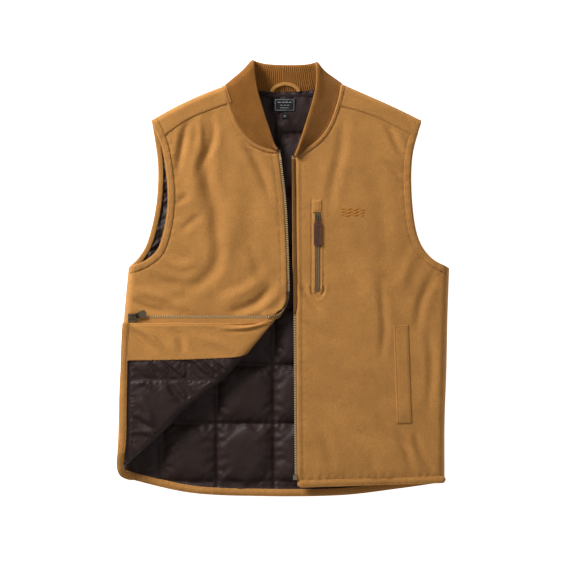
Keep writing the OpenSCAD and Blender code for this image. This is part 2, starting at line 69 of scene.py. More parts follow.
# Heights of the layers
BACK_TOP = span("back_lining")[1][2]
FRONT_LOW = span("front_left_lining")[0][2]
FRONT_TOP = span("front_left_shell")[1][2]
FLAP_LOW = span("flap_shell")[0][2]
FLAP_TOP = span("flap_lining")[1][2]
FOLD_Z = (FRONT_TOP + FLAP_LOW) / 2
CHAIN_Z = (span("zip_teeth_left")[0][2] + span("zip_teeth_left")[1][2]) / 2
FLAP_CHAIN_Z = 2 * FOLD_Z - CHAIN_Z
HALF_W = span("back_shell")[1][0]
HALF_L = span("rib_collar")[1][1]

CLOTH_T = 1.6
FACING_T = 1.2
HEM_W = 13
BAND_W = 12
SHOULDER_ROLL = 11.0
SIDE_ROLL = 15
BELOW_HEM = -400


# ---- Curves ----


def between(a, b, c, d, t):
    """The point a share t of the way from b to c, on a smooth curve through all four."""
    return 0.5 * (2 * b + (c - a) * t + (2 * a - 5 * b + 4 * c - d) * t**2
                  + (3 * b - a - 3 * c + d) * t**3)


def smooth(marks, steps=8):
    """A smooth curve through the marks, with that many steps between each two."""
    p = np.array(marks, float)
    p = np.vstack([p[:1], p, p[-1:]])
    t = np.linspace(0, 1, steps, endpoint=False)[:, None]
    parts = [between(*four, t) for four in zip(p[:-3], p[1:-2], p[2:-1], p[3:])]
    return np.vstack(parts + [p[-1:]])


def lengths(curve):
    """How far along the curve each of its points is."""
    return np.concatenate([[0], np.cumsum(np.linalg.norm(np.diff(curve, axis=0), axis=1))])


def along(curve, count):
    """The curve with count points, evenly spaced."""
    s = lengths(curve)
    at = np.linspace(0, s[-1], count)
    return np.stack([np.interp(at, s, curve[:, k]) for k in range(curve.shape[1])], 1)


def every(curve, pitch):
    """The curve with points about pitch apart."""
    return along(curve, max(2, int(round(lengths(curve)[-1] / pitch)) + 1))


def beside(curve, d):
    """The flat curve moved sideways by d, to the left of its direction."""
    t = np.gradient(curve[:, :2], axis=0)
    t /= np.linalg.norm(t, axis=1)[:, None]
    moved = np.array(curve, float)
    moved[:, 0] -= d * t[:, 1]
    moved[:, 1] += d * t[:, 0]
    return moved


def within(line, low, high):
    """The part of a line that lies between two heights y."""
    return line[(line[:, 1] > low) & (line[:, 1] < high)]


def x_at(curve, y):
    """The curve's x at each height y."""
    order = np.argsort(curve[:, 1])
    return np.interp(y, curve[order, 1], curve[order, 0])


def y_at(curve, x):
    """The curve's y at each x."""
    return x_at(curve[:, 1::-1], x)


def edge_at(v, *parts):
    """The x at height v of an edge in parts, from the top down; each is (lowest height, line)."""
    for lowest, line in parts:
        if v > lowest:
            return float(x_at(line, v))


def points(x, y, z):
    """3-D points from their coordinates; z may be one number for all."""
    return np.stack(np.broadcast_arrays(x, y, z), -1)


def at_height(line, z):
    """A flat line, or a grid, as 3-D points at height z."""
    return points(line[..., 0], line[..., 1], z)


def to_line(x, y, line):
    """Each point's distance from the line, how far along it (0 to 1) that is, and on which side."""
    best = np.full(x.shape, 1e9)
    where = np.zeros(x.shape)
    side = np.ones(x.shape)
    run = lengths(line[:, :2])
    s = run / run[-1]
    for k in range(len(line) - 1):
        a, ab = line[k, :2], line[k + 1, :2] - line[k, :2]
        t = np.clip(((x - a[0]) * ab[0] + (y - a[1]) * ab[1]) / max(ab @ ab, 1e-9), 0, 1)
        d = np.hypot(x - a[0] - t * ab[0], y - a[1] - t * ab[1])
        nearer = d < best
        best = np.where(nearer, d, best)
        where = np.where(nearer, s[k] + (s[k + 1] - s[k]) * t, where)
        side = np.where(nearer, np.sign(ab[0] * (y - a[1]) - ab[1] * (x - a[0])), side)
    return best, where, side


def noise(x, y, size, seed):
    """Smooth values from -1 to 1 with features about size across, the same on every run."""
    u, v = (0.8 * x + 0.6 * y) / size + 31.7, (0.8 * y - 0.6 * x) / size + 17.3
    i, j = np.floor(u), np.floor(v)
    fu, fv = u - i, v - j
    fu, fv = fu * fu * (3 - 2 * fu), fv * fv * (3 - 2 * fv)

    def corner(a, b):
        h = np.sin(a * 127.1 + b * 311.7 + seed * 74.7) * 43758.5453
        return (h - np.floor(h)) * 2 - 1

    low = corner(i, j) * (1 - fu) + corner(i + 1, j) * fu
    high = corner(i, j + 1) * (1 - fu) + corner(i + 1, j + 1) * fu
    return low * (1 - fv) + high * fv


def bell(d, width):
    """1 where d is 0, falling away over the width on both sides."""
    return np.exp(-((d / width) ** 2))


def ease(t):
    """Rises softly from 0 to 1 as t does."""
    t = np.clip(t, 0, 1)
    return t * t * (3 - 2 * t)


# ---- Outlines, as in the design ----

NECK_L, NECK_R = [101, 340], [-100, 337]
TIP_L, TIP_R = [241, 276], [-230, 276]
UNDERARM_L, UNDERARM_R = [HALF_W, 18], [20 - HALF_W, 20]
HEM_CORNER_L, HEM_CORNER_R = [HALF_W - 8, -355], [6 - HALF_W, -346]
neck_back = smooth([NECK_R, [-50, 328], [5, 325], [55, 328], NECK_L])
neck_left = smooth([NECK_L, [98, 321], [84, 277], [65, 246], [39, 225], [22, 213]])
neck_right = smooth([NECK_R, [-94, 312], [-79, 270], [-58, 241], [-33, 227.5], [-11, 224]])
armhole_left = smooth([TIP_L, [224, 214], [223, 140], [233, 74], [256, 37], UNDERARM_L])
armhole_right_back = smooth([TIP_R, [-219, 200], [-222, 130], [-236, 68], [-252, 38], UNDERARM_R])
armhole_right = smooth([TIP_R, [-209, 222], [-200, 137], [-213, 62], [-236, 34], UNDERARM_R])
side_left = smooth([UNDERARM_L, [HALF_W - 3, -66], [HALF_W - 5, -164], [HALF_W - 8, -250], HEM_CORNER_L])
side_right = smooth([UNDERARM_R, [12 - HALF_W, -66], [4 - HALF_W, -186], [2 - HALF_W, -265],
                     [0.06 - HALF_W, -318], HEM_CORNER_R])
hem_back = smooth([HEM_CORNER_R, [-163, -374], [-30, 0.3 - HALF_L], [100, 2 - HALF_L], [200, -367],
                   HEM_CORNER_L])
hem_left = smooth([[26, -363], HEM_CORNER_L])
shoulder_left = smooth([NECK_L, [148, 319.5], [196, 298], TIP_L])
shoulder_right = smooth([NECK_R, [-143, 320.5], [-190, 298.5], TIP_R])
yoke_left = smooth([[95, 306], [161, 286], [223, 254]])
yoke_right = smooth([[-91, 311], [-163, 283], [-213, 249]])
BACK_YOKE_Y = 228

# Tooth lines: the left front's, and the right front's, which turns over the fold onto the flap
teeth_left = np.array([[16, 211], [20, -340]], float)
teeth_right = smooth([[-5, 221], [5, 137], [9.5, 50], [11, -22]])
FLAP_TEETH_Y = span("zip_teeth_flap")[1][1]

# The fold line, its direction down to the hem and its normal towards the flap
FOLD_TOP = np.array([12, -66.0])
FOLD_END = np.array([5.5 - HALF_W, -333.0])
fold_u = (FOLD_END - FOLD_TOP) / np.linalg.norm(FOLD_END - FOLD_TOP)
fold_n = np.array([fold_u[1], -fold_u[0]])

# The fold's outermost line as it lies, from the zip to the hem
fold_edge = smooth([[4, -48], [-9, -66], [-28, -89], [-60, -128], [-101, -173], [-163, -221], [-215, -273],
                    [-281, -332]])


# ---- Meshes ----


def placed(name, data):
    """An object in the scene that holds the given mesh, light or camera."""
    obj = bpy.data.objects.new(name, data)
    bpy.context.scene.collection.objects.link(obj)
    return obj


def new_object(name, verts, faces):
    """A smooth-shaded mesh object from points in millimetres."""
    mesh = bpy.data.meshes.new(name)
    mesh.from_pydata((np.asarray(verts, float) * MM).tolist(), [], [list(map(int, f)) for f in faces])
    mesh.polygons.foreach_set("use_smooth", np.ones(len(mesh.polygons), bool))
    mesh.update()
    return placed(name, mesh)


def grid_normals(grid):
    """Unit normals of a grid of points; rows run along its first axis."""
    n = np.cross(np.gradient(grid, axis=1), np.gradient(grid, axis=0))
    size = np.linalg.norm(n, axis=2, keepdims=True)
    return n / np.maximum(size, 1e-9)


def upward(grid, row, col):
    """The grid, with its columns reversed if it faces down at the given point."""
    return grid[:, ::-1] if grid_normals(grid)[row, col, 2] < 0 else grid


def grid_faces(rows, cols, start=0, flip=False):
    """The four-sided faces of a grid whose points are numbered from start."""
    i, j = np.meshgrid(np.arange(rows - 1), np.arange(cols - 1), indexing="ij")
    a = (start + i * cols + j).ravel()
    quads = np.stack([a, a + 1, a + cols + 1, a + cols], 1)
    return quads[:, ::-1] if flip else quads


def rim(rows, cols):
    """The grid's border as a closed loop of point numbers."""
    first = np.arange(cols)
    right = np.arange(1, rows) * cols + cols - 1
    last = (rows - 1) * cols + np.arange(cols - 2, -1, -1)
    left = np.arange(rows - 2, 0, -1) * cols
    return np.concatenate([first, right, last, left])


def closed_sheet(name, grid, lower):
    """A closed piece between an upper grid and a lower one, or one that many millimetres below it.
    Its edge is rounded by one loop of points pushed outwards."""
    rows, cols = grid.shape[:2]
    if np.isscalar(lower):
        lower = grid - grid_normals(grid) * lower
    size = rows * cols
    top, bottom = grid.reshape(-1, 3), lower.reshape(-1, 3)
    loop = rim(rows, cols)
    middle = (top[loop] + bottom[loop]) / 2
    thick = np.linalg.norm(top[loop] - bottom[loop], axis=1)[:, None]
    inner = grid[1:-1, 1:-1]
    inner = np.pad(inner, ((1, 1), (1, 1), (0, 0)), mode="edge").reshape(-1, 3)[loop]
    out = top[loop] - inner
    out /= np.maximum(np.linalg.norm(out, axis=1)[:, None], 1e-9)
    middle = middle + out * np.minimum(thick * 0.35, 1.5)
    verts = np.vstack([top, bottom, middle])
    k = np.arange(len(loop))
    after = np.roll(k, -1)
    ring = 2 * size + k
    ring_after = 2 * size + after
    walls = np.vstack([np.stack([loop[after], loop, ring, ring_after], 1),
                       np.stack([ring_after, ring, size + loop, size + loop[after]], 1)])
    faces = np.vstack([grid_faces(rows, cols), grid_faces(rows, cols, size, flip=True), walls])
    return new_object(name, verts, faces)


def ring_profile(width, height, corner=0.4, count=20):
    """A flat oval outline, as wide and high as given, with its middle at 0, 0."""
    a = np.linspace(0, 2 * math.pi, count, endpoint=False)
    c, s = np.cos(a), np.sin(a)
    return np.stack([np.sign(c) * np.abs(c) ** corner * width / 2,
                     np.sign(s) * np.abs(s) ** corner * height / 2], 1)


def swept(name, path, profile, sideways=None, bump=None, taper=0.0):
    """A closed piece: a profile (across, up) swept along a path of 3-D points.
    sideways gives the across direction at each point; bump(s, a, b) adds to the height."""
    path = np.asarray(path, float)
    n, m = len(path), len(profile)
    t = np.gradient(path, axis=0)
    t /= np.linalg.norm(t, axis=1)[:, None]
    if sideways is None:
        across = np.cross(t, [0, 0, 1.0])
    else:
        across = np.asarray(sideways, float)
        across = across - t * np.sum(across * t, axis=1)[:, None]
    across /= np.linalg.norm(across, axis=1)[:, None]
    up = np.cross(across, t)
    prof = np.broadcast_to(profile, (n, m, 2)).copy()
    run = lengths(path)
    if taper:
        end = np.clip(np.minimum(run, run[-1] - run) / taper, 0, 1)
        prof *= (0.25 + 0.75 * np.sqrt(1 - (1 - end) ** 2))[:, None, None]
    if bump is not None:
        prof[:, :, 1] += bump(run[:, None], prof[:, :, 0], prof[:, :, 1])
    verts = path[:, None, :] + across[:, None, :] * prof[:, :, :1] + up[:, None, :] * prof[:, :, 1:]
    verts = np.vstack([verts.reshape(-1, 3), path[:1], path[-1:]])
    i, j = np.meshgrid(np.arange(n - 1), np.arange(m), indexing="ij")
    a, b = (i * m + j).ravel(), (i * m + (j + 1) % m).ravel()
    quads = np.stack([a, a + m, b + m, b], 1)
    k = np.arange(m)
    start = [[n * m, x, y] for x, y in zip(k, (k + 1) % m)]
    end = [[n * m + 1, (n - 1) * m + y, (n - 1) * m + x] for x, y in zip(k, (k + 1) % m)]
    obj = new_object(name, verts, quads.tolist() + start + end)
    face_out(obj)
    return obj


def face_out(obj):
    """Turns the object's faces so that they all point outwards."""
    bm = bmesh.new()
    bm.from_mesh(obj.data)
    bmesh.ops.recalc_face_normals(bm, faces=bm.faces)
    bm.to_mesh(obj.data)
    bm.free()


def rounded_block(size, bevel, segments=2):
    """Points and faces of a block with rounded edges, round its middle."""
    bm = bmesh.new()
    bmesh.ops.create_cube(bm, size=1)
    bmesh.ops.scale(bm, vec=size, verts=bm.verts)
    bmesh.ops.bevel(bm, geom=list(bm.edges), offset=bevel, segments=segments, profile=0.5, affect="EDGES")
    verts = np.array([v.co for v in bm.verts])
    faces = [[v.index for v in f.verts] for f in bm.faces]
    bm.free()
    return verts, faces


def copies(name, shape, places):
    """One object of many copies of a shape; a place is (origin, x direction, y direction)."""
    verts, faces = shape
    all_verts, all_faces = [], []
    for k, (origin, x_dir, y_dir) in enumerate(places):
        x_dir = np.asarray(x_dir, float) / np.linalg.norm(x_dir)
        z_dir = np.cross(x_dir, y_dir)
        z_dir /= np.linalg.norm(z_dir)
        y_dir = np.cross(z_dir, x_dir)
        all_verts.append(verts @ np.stack([x_dir, y_dir, z_dir]) + origin)
        all_faces += [[i + k * len(verts) for i in f] for f in faces]
    return new_object(name, np.vstack(all_verts), all_faces)


def joined(name, objects):
    """Joins mesh objects into one."""
    bm = bmesh.new()
    for o in objects:
        bm.from_mesh(o.data)
        bpy.data.objects.remove(o)
    mesh = bpy.data.meshes.new(name)
    bm.to_mesh(mesh)
    bm.free()
    return placed(name, mesh)


# ---- Cloth ----


SETTLE_FRAMES = 20
FARTHEST = 40.0


def settle(grid, pinned, pressure, grow):
    """Lets a sheet puff out between its pinned points, and returns where its points end up.
    The cloth is grow larger than its grid, so that it wrinkles along its seams."""
    rows, cols = grid.shape[:2]
    obj = new_object("settling", grid.reshape(-1, 3), grid_faces(rows, cols))
    group = obj.vertex_groups.new(name="pinned")
    group.add(np.flatnonzero(pinned.ravel()).tolist(), 1.0, "REPLACE")
    cloth = obj.modifiers.new("cloth", "CLOTH")
    s = cloth.settings
    s.quality = 6
    s.mass = 0.15
    s.tension_stiffness = 25
    s.compression_stiffness = 25
    s.shear_stiffness = 8
    s.bending_stiffness = 0.4
    s.air_damping = 3
    s.use_pressure = True
    s.uniform_pressure_force = pressure
    s.effector_weights.gravity = 0
    s.shrink_min = s.shrink_max = -grow
    s.vertex_group_mass = "pinned"
    s.pin_stiffness = 1
    cloth.collision_settings.use_collision = False
    cloth.point_cache.frame_start, cloth.point_cache.frame_end = 1, SETTLE_FRAMES
    for f in range(1, SETTLE_FRAMES + 1):
        bpy.context.scene.frame_set(f)
    done = obj.evaluated_get(bpy.context.evaluated_depsgraph_get())
    co = np.empty(rows * cols * 3, np.float32)
    done.data.vertices.foreach_get("co", co)
    bpy.data.objects.remove(obj)
    bpy.context.scene.frame_set(1)
    moved = co.reshape(rows, cols, 3).astype(float) / MM - grid
    size = np.linalg.norm(moved, axis=2, keepdims=True)
    return grid + moved * np.minimum(1, FARTHEST / np.maximum(size, 1e-9))


# ---- Canvas surfaces ----

FOLD_GAIN = 1.7


def folds(x, y, items):
    """Soft folds: each is a line of marks, a height (below 0 for a valley) and a width."""
    total = np.zeros(x.shape)
    for marks, height, width in items:
        d, s, _ = to_line(x, y, smooth(marks, 6))
        taper = np.sin(math.pi * np.clip(s, 0.02, 0.98)) ** 0.7
        total += height * FOLD_GAIN * taper * (bell(d, width) - 0.35 * bell(d - 1.6 * width, width))
    return total


def seam(x, y, line, depth=0.9, width=1.6, pucker=0.25, seed=1):
    """A row of stitches draws the cloth down along a line, with small puckers beside it."""
    d, s, _ = to_line(x, y, line)
    run = s * lengths(line[:, :2])[-1]
    ripple = np.sin(run / 2.3 + 2.5 * noise(run, d * 0 + seed * 9, 30, seed))
    return -depth * bell(d, width) + pucker * ripple * bell(d - 3.5, 3.5)


def cloth_noise(x, y, seed):
    """The cloth's own unevenness, from broad waves to fine ones."""
    waves = ((0.9, 90), (0.45, 38), (0.16, 14), (0.05, 6))
    return sum(height * noise(x, y, size, seed + k) for k, (height, size) in enumerate(waves))


def rolled(x, y, z, edges, radius, floor):
    """The height z, brought down to floor at the edges over a rounded strip."""
    d = np.minimum.reduce([to_line(x, y, e)[0] for e in edges])
    k = np.clip(d / radius, 0, 1)
    return floor + (z - floor) * np.sqrt(1 - (1 - k) ** 2)


def row_columns(x_in, x_out, count, edge):
    """Points of one row from x_in to x_out, closer together over the last edge millimetres."""
    width = abs(x_out - x_in)
    edge = min(edge, width * 0.4)
    sign = 1 if x_out > x_in else -1
    inner = np.linspace(x_in, x_out - sign * edge, count)
    outer = x_out - sign * edge * (1 - np.sin(np.linspace(0, math.pi / 2, 10)[1:]))
    return np.concatenate([inner, outer])


def build_rows(ys, inner, outer, count, edge):
    """A flat grid of x and y whose rows run from inner(y) to outer(y)."""
    x = np.stack([row_columns(inner(v), outer(v), count, edge) for v in ys])
    return x, np.repeat(ys[:, None], x.shape[1], 1)


# ---- Materials ----


def linear(colour):
    """A screen colour of 0 to 255 as linear light."""
    c = np.array(colour, float) / 255
    return np.where(c < 0.04045, c / 12.92, ((c + 0.055) / 1.055) ** 2.4)


def shade(colour, gain):
    """The colour made that many times as light, with full opacity."""
    return (*np.clip(np.array(colour) * gain, 0, 1), 1)


class Maker:
    """A material's nodes: textures in the object's own metres, mixed by small named steps."""

    def __init__(self, name, rough, metallic=0.0, sheen=0.0, specular=0.5):
        self.m = bpy.data.materials.new(name)
        self.m.use_nodes = True
        self.tree = self.m.node_tree
        self.bsdf = self.tree.nodes["Principled BSDF"]
        for socket, value in (("Roughness", rough), ("Metallic", metallic), ("Sheen Weight", sheen),
                              ("Sheen Roughness", 0.45), ("Specular IOR Level", specular)):
            self.bsdf.inputs[socket].default_value = value
        self.place = self.add("ShaderNodeTexCoord").outputs["Object"]

    def add(self, kind, **values):
        """A new node of that kind, with its settings."""
        node = self.tree.nodes.new(kind)
        for k, v in values.items():
            setattr(node, k, v)
        return node

    def link(self, a, b):
        self.tree.links.new(a, b)

    def noise(self, size, detail=3.0, rough=0.55):
        """Noise whose features are about that many metres across."""
        n = self.add("ShaderNodeTexNoise")
        n.inputs["Scale"].default_value = 1 / size
        n.inputs["Detail"].default_value = detail
        n.inputs["Roughness"].default_value = rough
        self.link(self.place, n.inputs["Vector"])
        return n.outputs["Fac"]

    def threads(self, pitch, direction="X", turn=0.0, wobble=0.4):
        """Parallel threads that far apart in metres."""
        spin = self.add("ShaderNodeMapping")
        spin.inputs["Rotation"].default_value = (0, 0, turn)
        self.link(self.place, spin.inputs["Vector"])
        w = self.add("ShaderNodeTexWave", bands_direction=direction)
        w.inputs["Scale"].default_value = math.pi / (10 * pitch)
        w.inputs["Distortion"].default_value = wobble
        w.inputs["Detail"].default_value = 1.0
        self.link(spin.outputs["Vector"], w.inputs["Vector"])
        return w.outputs["Fac"]

    def cells(self, size):
        """The distance to the borders of small cells that many metres across."""
        v = self.add("ShaderNodeTexVoronoi", feature="DISTANCE_TO_EDGE")
        v.inputs["Scale"].default_value = 1 / size
        self.link(self.place, v.inputs["Vector"])
        return v.outputs["Distance"]

    def math(self, op, a, b):
        """Two values, each a number or a texture, put together by the operation."""
        node = self.add("ShaderNodeMath", operation=op)
        for k, v in enumerate((a, b)):
            if isinstance(v, (int, float)):
                node.inputs[k].default_value = v
            else:
                self.link(v, node.inputs[k])
        return node.outputs[0]

    def ramp(self, fac, stops):
        """Colours along a value; each stop is (value, colour)."""
        node = self.add("ShaderNodeValToRGB")
        line = node.color_ramp
        while len(line.elements) < len(stops):
            line.elements.new(0.5)
        for e, (at, colour) in zip(line.elements, stops):
            e.position, e.color = at, colour
        self.link(fac, node.inputs["Fac"])
        return node.outputs["Color"]

    def mix(self, fac, a, b, kind="MIX"):
        """Two colours mixed, by a share that is a number or a texture."""
        node = self.add("ShaderNodeMix", data_type="RGBA", blend_type=kind)
        for socket, v in ((node.inputs["Factor"], fac), (node.inputs[6], a), (node.inputs[7], b)):
            if isinstance(v, (int, float, tuple)):
                socket.default_value = v
            else:
                self.link(v, socket)
        return node.outputs[2]

    def times(self, a, b):
        """One colour tinted by another."""
        return self.mix(1.0, a, b, "MULTIPLY")

    def mottle(self, colour, size, low, high, detail=4.0, start=0.3):
        """The colour in patches that many metres across, from low to high times as light."""
        stops = [(start, shade(colour, low)), (1 - start, shade(colour, high))]
        return self.ramp(self.noise(size, detail), stops)

    def colour(self, socket):
        """Takes the material's colour from a texture."""
        self.link(socket, self.bsdf.inputs["Base Color"])

    def rough(self, fac, low, high):
        """Roughness that goes from low to high with a texture."""
        node = self.add("ShaderNodeMapRange")
        node.inputs["To Min"].default_value = low
        node.inputs["To Max"].default_value = high
        self.link(fac, node.inputs["Value"])
        self.link(node.outputs["Result"], self.bsdf.inputs["Roughness"])

    def bump(self, *heights):
        """Bumps laid on each other; each is (height, depth in metres, strength)."""
        last = None
        for height, depth, strength in heights:
            node = self.add("ShaderNodeBump")
            node.inputs["Distance"].default_value = depth
            node.inputs["Strength"].default_value = strength
            self.link(height, node.inputs["Height"])
            if last:
                self.link(last, node.inputs["Normal"])
            last = node.outputs["Normal"]
        self.link(last, self.bsdf.inputs["Normal"])


def canvas_material(name, base, spread=0.1):
    """Brushed cotton duck: a plain weave under a short fuzz, with washed-in mottling."""
    k = Maker(name, 0.92, sheen=0.05, specular=0.15)
    c = linear(base)
    cloth = k.math("MULTIPLY", k.threads(0.0011, "X"), k.threads(0.0011, "Y"))
    blotch = k.mottle(c, 0.045, 1 - spread, 1 + spread, start=0.32)
    fuzz = k.ramp(k.noise(0.0021, 3.0, 0.7), [(0.3, (0.8, 0.78, 0.76, 1)), (0.7, (1.12, 1.13, 1.15, 1))])
    gap = k.ramp(cloth, [(0.0, (0.86, 0.84, 0.82, 1)), (0.5, (1.0, 1.0, 1.0, 1))])
    k.colour(k.times(k.times(blotch, fuzz), gap))
    k.rough(k.noise(0.004), 0.84, 0.98)
    k.bump((k.noise(0.0065, 4.0), 0.0014, 0.35), (k.noise(0.0016, 2.0), 0.0005, 0.45), (cloth, 0.0003, 0.6))
    return k.m


def rib_material(name, base):
    """Rib-knit wool blend: small stitches on the modelled ribs, with painted shade in the grooves between the
    ribs and a painted highlight on their crests.
    """
    k = Maker(name, 0.95, sheen=0.2, specular=0.15)
    tone = k.mottle(linear(base), 0.02, 0.88, 1.12)
    yarn = k.ramp(k.noise(0.0011, 2.0, 0.7), [(0.3, (0.78, 0.77, 0.75, 1)), (0.7, (1.15, 1.15, 1.15, 1))])
    # Painted shade in the ribs' grooves and a painted highlight on their crests, by the surface's curvature
    edge = k.add("ShaderNodeNewGeometry").outputs["Pointiness"]
    groove = k.ramp(edge, [(0.43, (0.66, 0.64, 0.6, 1)), (0.5, (1.0, 1.0, 1.0, 1)),
                           (0.57, (1.12, 1.12, 1.12, 1))])
    k.colour(k.times(k.times(tone, yarn), groove))
    k.bump((k.threads(0.0022, "Y", 0.3, 1.5), 0.0004, 0.35), (k.noise(0.0009, 2.0), 0.0004, 0.6))
    return k.m


def lining_material(name, base):
    """Dark nylon with a soft shine and a fine weave."""
    k = Maker(name, 0.5, specular=0.27)
    k.colour(k.mottle(linear(base), 0.03, 0.85, 1.15))
    k.rough(k.noise(0.008, 3.0), 0.42, 0.56)
    weave = k.math("MULTIPLY", k.threads(0.0009, "X"), k.threads(0.0009, "Y"))
    k.bump((k.noise(0.012, 5.0, 0.6), 0.0022, 0.35), (weave, 0.0002, 0.5))
    return k.m


def metal_material(name, base, worn, smoothest, roughest, rubbed, metallic=1.0):
    """Antique brass: dark in the hollows, rubbed bright on the edges."""
    k = Maker(name, 0.38, metallic=metallic)
    dark, bright = linear(base), linear(worn)
    edge = k.add("ShaderNodeNewGeometry").outputs["Pointiness"]
    rub = k.math("MULTIPLY", k.ramp(edge, [(0.49, (0, 0, 0, 1)), (0.56, (1, 1, 1, 1))]), rubbed)
    patina = k.mottle(dark, 0.0035, 0.75, 1.3)
    k.colour(k.mix(rub, patina, shade(bright, 1.0)))
    k.rough(k.noise(0.0025, 4.0), smoothest, roughest)
    k.bump((k.noise(0.0012, 3.0), 0.00015, 0.4))
    return k.m


def leather_material(name, base):
    """Waxed leather: uneven brown with small dark pores."""
    k = Maker(name, 0.5, specular=0.45)
    pores = k.ramp(k.cells(0.0013), [(0.0, (0.6, 0.6, 0.6, 1)), (0.2, (1, 1, 1, 1))])
    k.colour(k.times(k.mottle(linear(base), 0.006, 0.75, 1.25), pores))
    k.rough(k.noise(0.004), 0.42, 0.62)
    k.bump((k.cells(0.0013), 0.0003, 0.5), (k.noise(0.003, 3.0), 0.0004, 0.4))
    return k.m


def tape_material(name, base, pitch=0.0009):
    """Close woven tape or thread."""
    k = Maker(name, 0.85, sheen=0.08, specular=0.25)
    twill = k.threads(pitch, "X", 0.7)
    ribs = k.ramp(twill, [(0.0, (0.82, 0.82, 0.82, 1)), (0.7, (1.05, 1.05, 1.05, 1))])
    k.colour(k.times(k.mottle(linear(base), 0.01, 0.9, 1.1, 3.0), ribs))
    k.bump((twill, 0.0003, 0.6))
    return k.m


CANVAS = canvas_material("canvas_duck", (195, 139, 75))
CANVAS_FACING = canvas_material("canvas_facing", (201, 143, 77), 0.07)
RIB = rib_material("rib_knit", (154, 101, 44))
LINING = lining_material("nylon_lining", (47, 32, 29))
BRASS = metal_material("brass_aged", (80, 67, 52), (226, 204, 170), 0.2, 0.4, 0.38)
TEETH = metal_material("brass_teeth", (212, 162, 102), (255, 228, 176), 0.34, 0.6, 0.75, 0.65)
# The teeth's brass made darker: painted shade for the teeth at the fold's corner and in the chest zip's slot
TEETH_PAINTED_SHADE = metal_material("brass_teeth_painted_shade", (112, 88, 60), (220, 194, 150), 0.34, 0.6, 0.55, 0.55)
LEATHER = leather_material("leather_brown", (100, 62, 46))
TAPE = tape_material("tape_tan", (150, 106, 58))
# Dark thread for the leather tab's stitches, and painted shade for the strips under the zip teeth
DARK_THREAD_AND_SHADE = tape_material("tape_dark_thread_and_painted_shade", (44, 38, 38))
# Dark brown for the tape turned over the left front's upper teeth: painted shade
TURNED_TAPE_PAINTED_SHADE = tape_material("tape_brown_painted_shade", (112, 73, 27))
NECK_TAPE = tape_material("tape_neck", (38, 27, 25))
LABEL = tape_material("label_black", (30, 29, 31), 0.0006)
LABEL_MARK = tape_material("label_grey", (150, 156, 158), 0.0006)
THREAD = tape_material("thread_tan", (176, 126, 68), 0.0006)
EMBROIDERY = tape_material("thread_embroidery", (200, 128, 48), 0.0007)


def piece(obj, material, body="vest", nodes=()):
    """Gives a piece its material, the body it rides on and the CAD nodes it stands for."""
    obj.data.materials.clear()
    obj.data.materials.append(material)
    if body:
        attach(obj, body)
    if nodes:
        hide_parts(*nodes)
    return obj


# ---- Heights of the canvas surfaces ----

FOLDS_LEFT = [
    ([[178, 274], [194, 240], [212, 207]], -1.7, 7),
    ([[170, 206], [190, 192], [211, 171]], -1.5, 5),
    ([[106, 286], [101, 227], [88, 172], [78, 110]], -1.2, 9),
    ([[150, 215], [170, 120], [178, 40], [175, -30]], -1.0, 15),
    ([[169, 0], [172, -40], [176, -90], [170, -140]], -1.3, 7),
    ([[120, 60], [150, -10], [190, -50], [240, -70]], 1.2, 16),
    ([[28, 2], [42, -30], [66, -58]], -1.6, 6),
    ([[36, -60], [58, -90], [100, -112]], -1.0, 9),
    ([[160, -230], [188, -268], [230, -300]], -1.4, 8),
    ([[196, -262], [214, -300], [226, -338]], -1.2, 7),
    ([[228, -262], [238, -300], [262, -335]], -1.4, 7),
    ([[120, -282], [150, -315], [168, -344]], -0.9, 7),
    ([[60, -250], [80, -300], [86, -344]], -0.8, 10),
    ([[262, 10], [240, -40], [232, -90]], -1.5, 8),
    ([[236, 60], [215, 20], [205, -20]], 1.2, 10),
    ([[250, -80], [258, -150], [252, -230]], -1.3, 8),
]
FOLDS_RIGHT = [
    ([[-165, 286], [-172, 250], [-179, 212], [-184, 181]], -2.2, 6.5),
    ([[-128, 284], [-121, 258], [-125, 232], [-140, 203], [-147, 180]], -1.8, 7),
    ([[-148, 282], [-143, 250], [-146, 222]], 1.6, 6),
    ([[-142, 204], [-130, 168], [-112, 130], [-104, 96]], -1.6, 11),
    ([[-128, 281], [-131, 172], [-117, 94], [-121, 15], [-207, -46]], -2.0, 11),
    ([[-189, 129], [-163, 146]], -0.9, 6),
    ([[-180, 81], [-160, 98], [-140, 112]], -1.0, 7),
    ([[-150, 250], [-158, 190], [-152, 120]], 1.4, 12),
    ([[-96, -60], [-48, -43], [-14, -10]], -3.0, 8),
    ([[-110, -40], [-60, -18], [-24, 12]], 2.0, 10),
    ([[-82, 258], [-60, 228], [-34, 176], [-22, 132]], -1.9, 8),
    ([[-90, 200], [-80, 120], [-96, 30]], 1.2, 16),
    ([[-262, -20], [-210, -32], [-160, -56]], 1.8, 9),
    ([[-240, 10], [-200, -8], [-150, -10]], -1.6, 9),
    ([[-218, 40], [-180, 22], [-150, 30]], 1.4, 9),
    ([[-276, -30], [-240, -50], [-190, -60]], -1.5, 6),
    ([[-60, 60], [-40, 10], [-16, -20]], -1.2, 9),
]
# The chest zip: its slot, the stitches round it and the pucker below it
CHEST_LOW, CHEST_HIGH = span("chest_zip_tape")
CHEST_X = (CHEST_LOW[0] + CHEST_HIGH[0]) / 2
CHEST_Y0, CHEST_Y1 = CHEST_LOW[1], CHEST_HIGH[1]
WINDOW_HALF, WINDOW_SHIFT = 4.6, 1.2
chest_box = np.array([[CHEST_X + a, b] for a, b in (
    (-10.5, CHEST_Y1 + 22), (-10.5, CHEST_Y0 - 4), (10.5, CHEST_Y0 - 4), (10.5, CHEST_Y1 + 22),
    (-10.5, CHEST_Y1 + 22))])
pucker = smooth([[CHEST_X + a, CHEST_Y0 + b] for a, b in ((-12, 8), (-8, -6), (0, -11), (8, -6), (12, 8))])

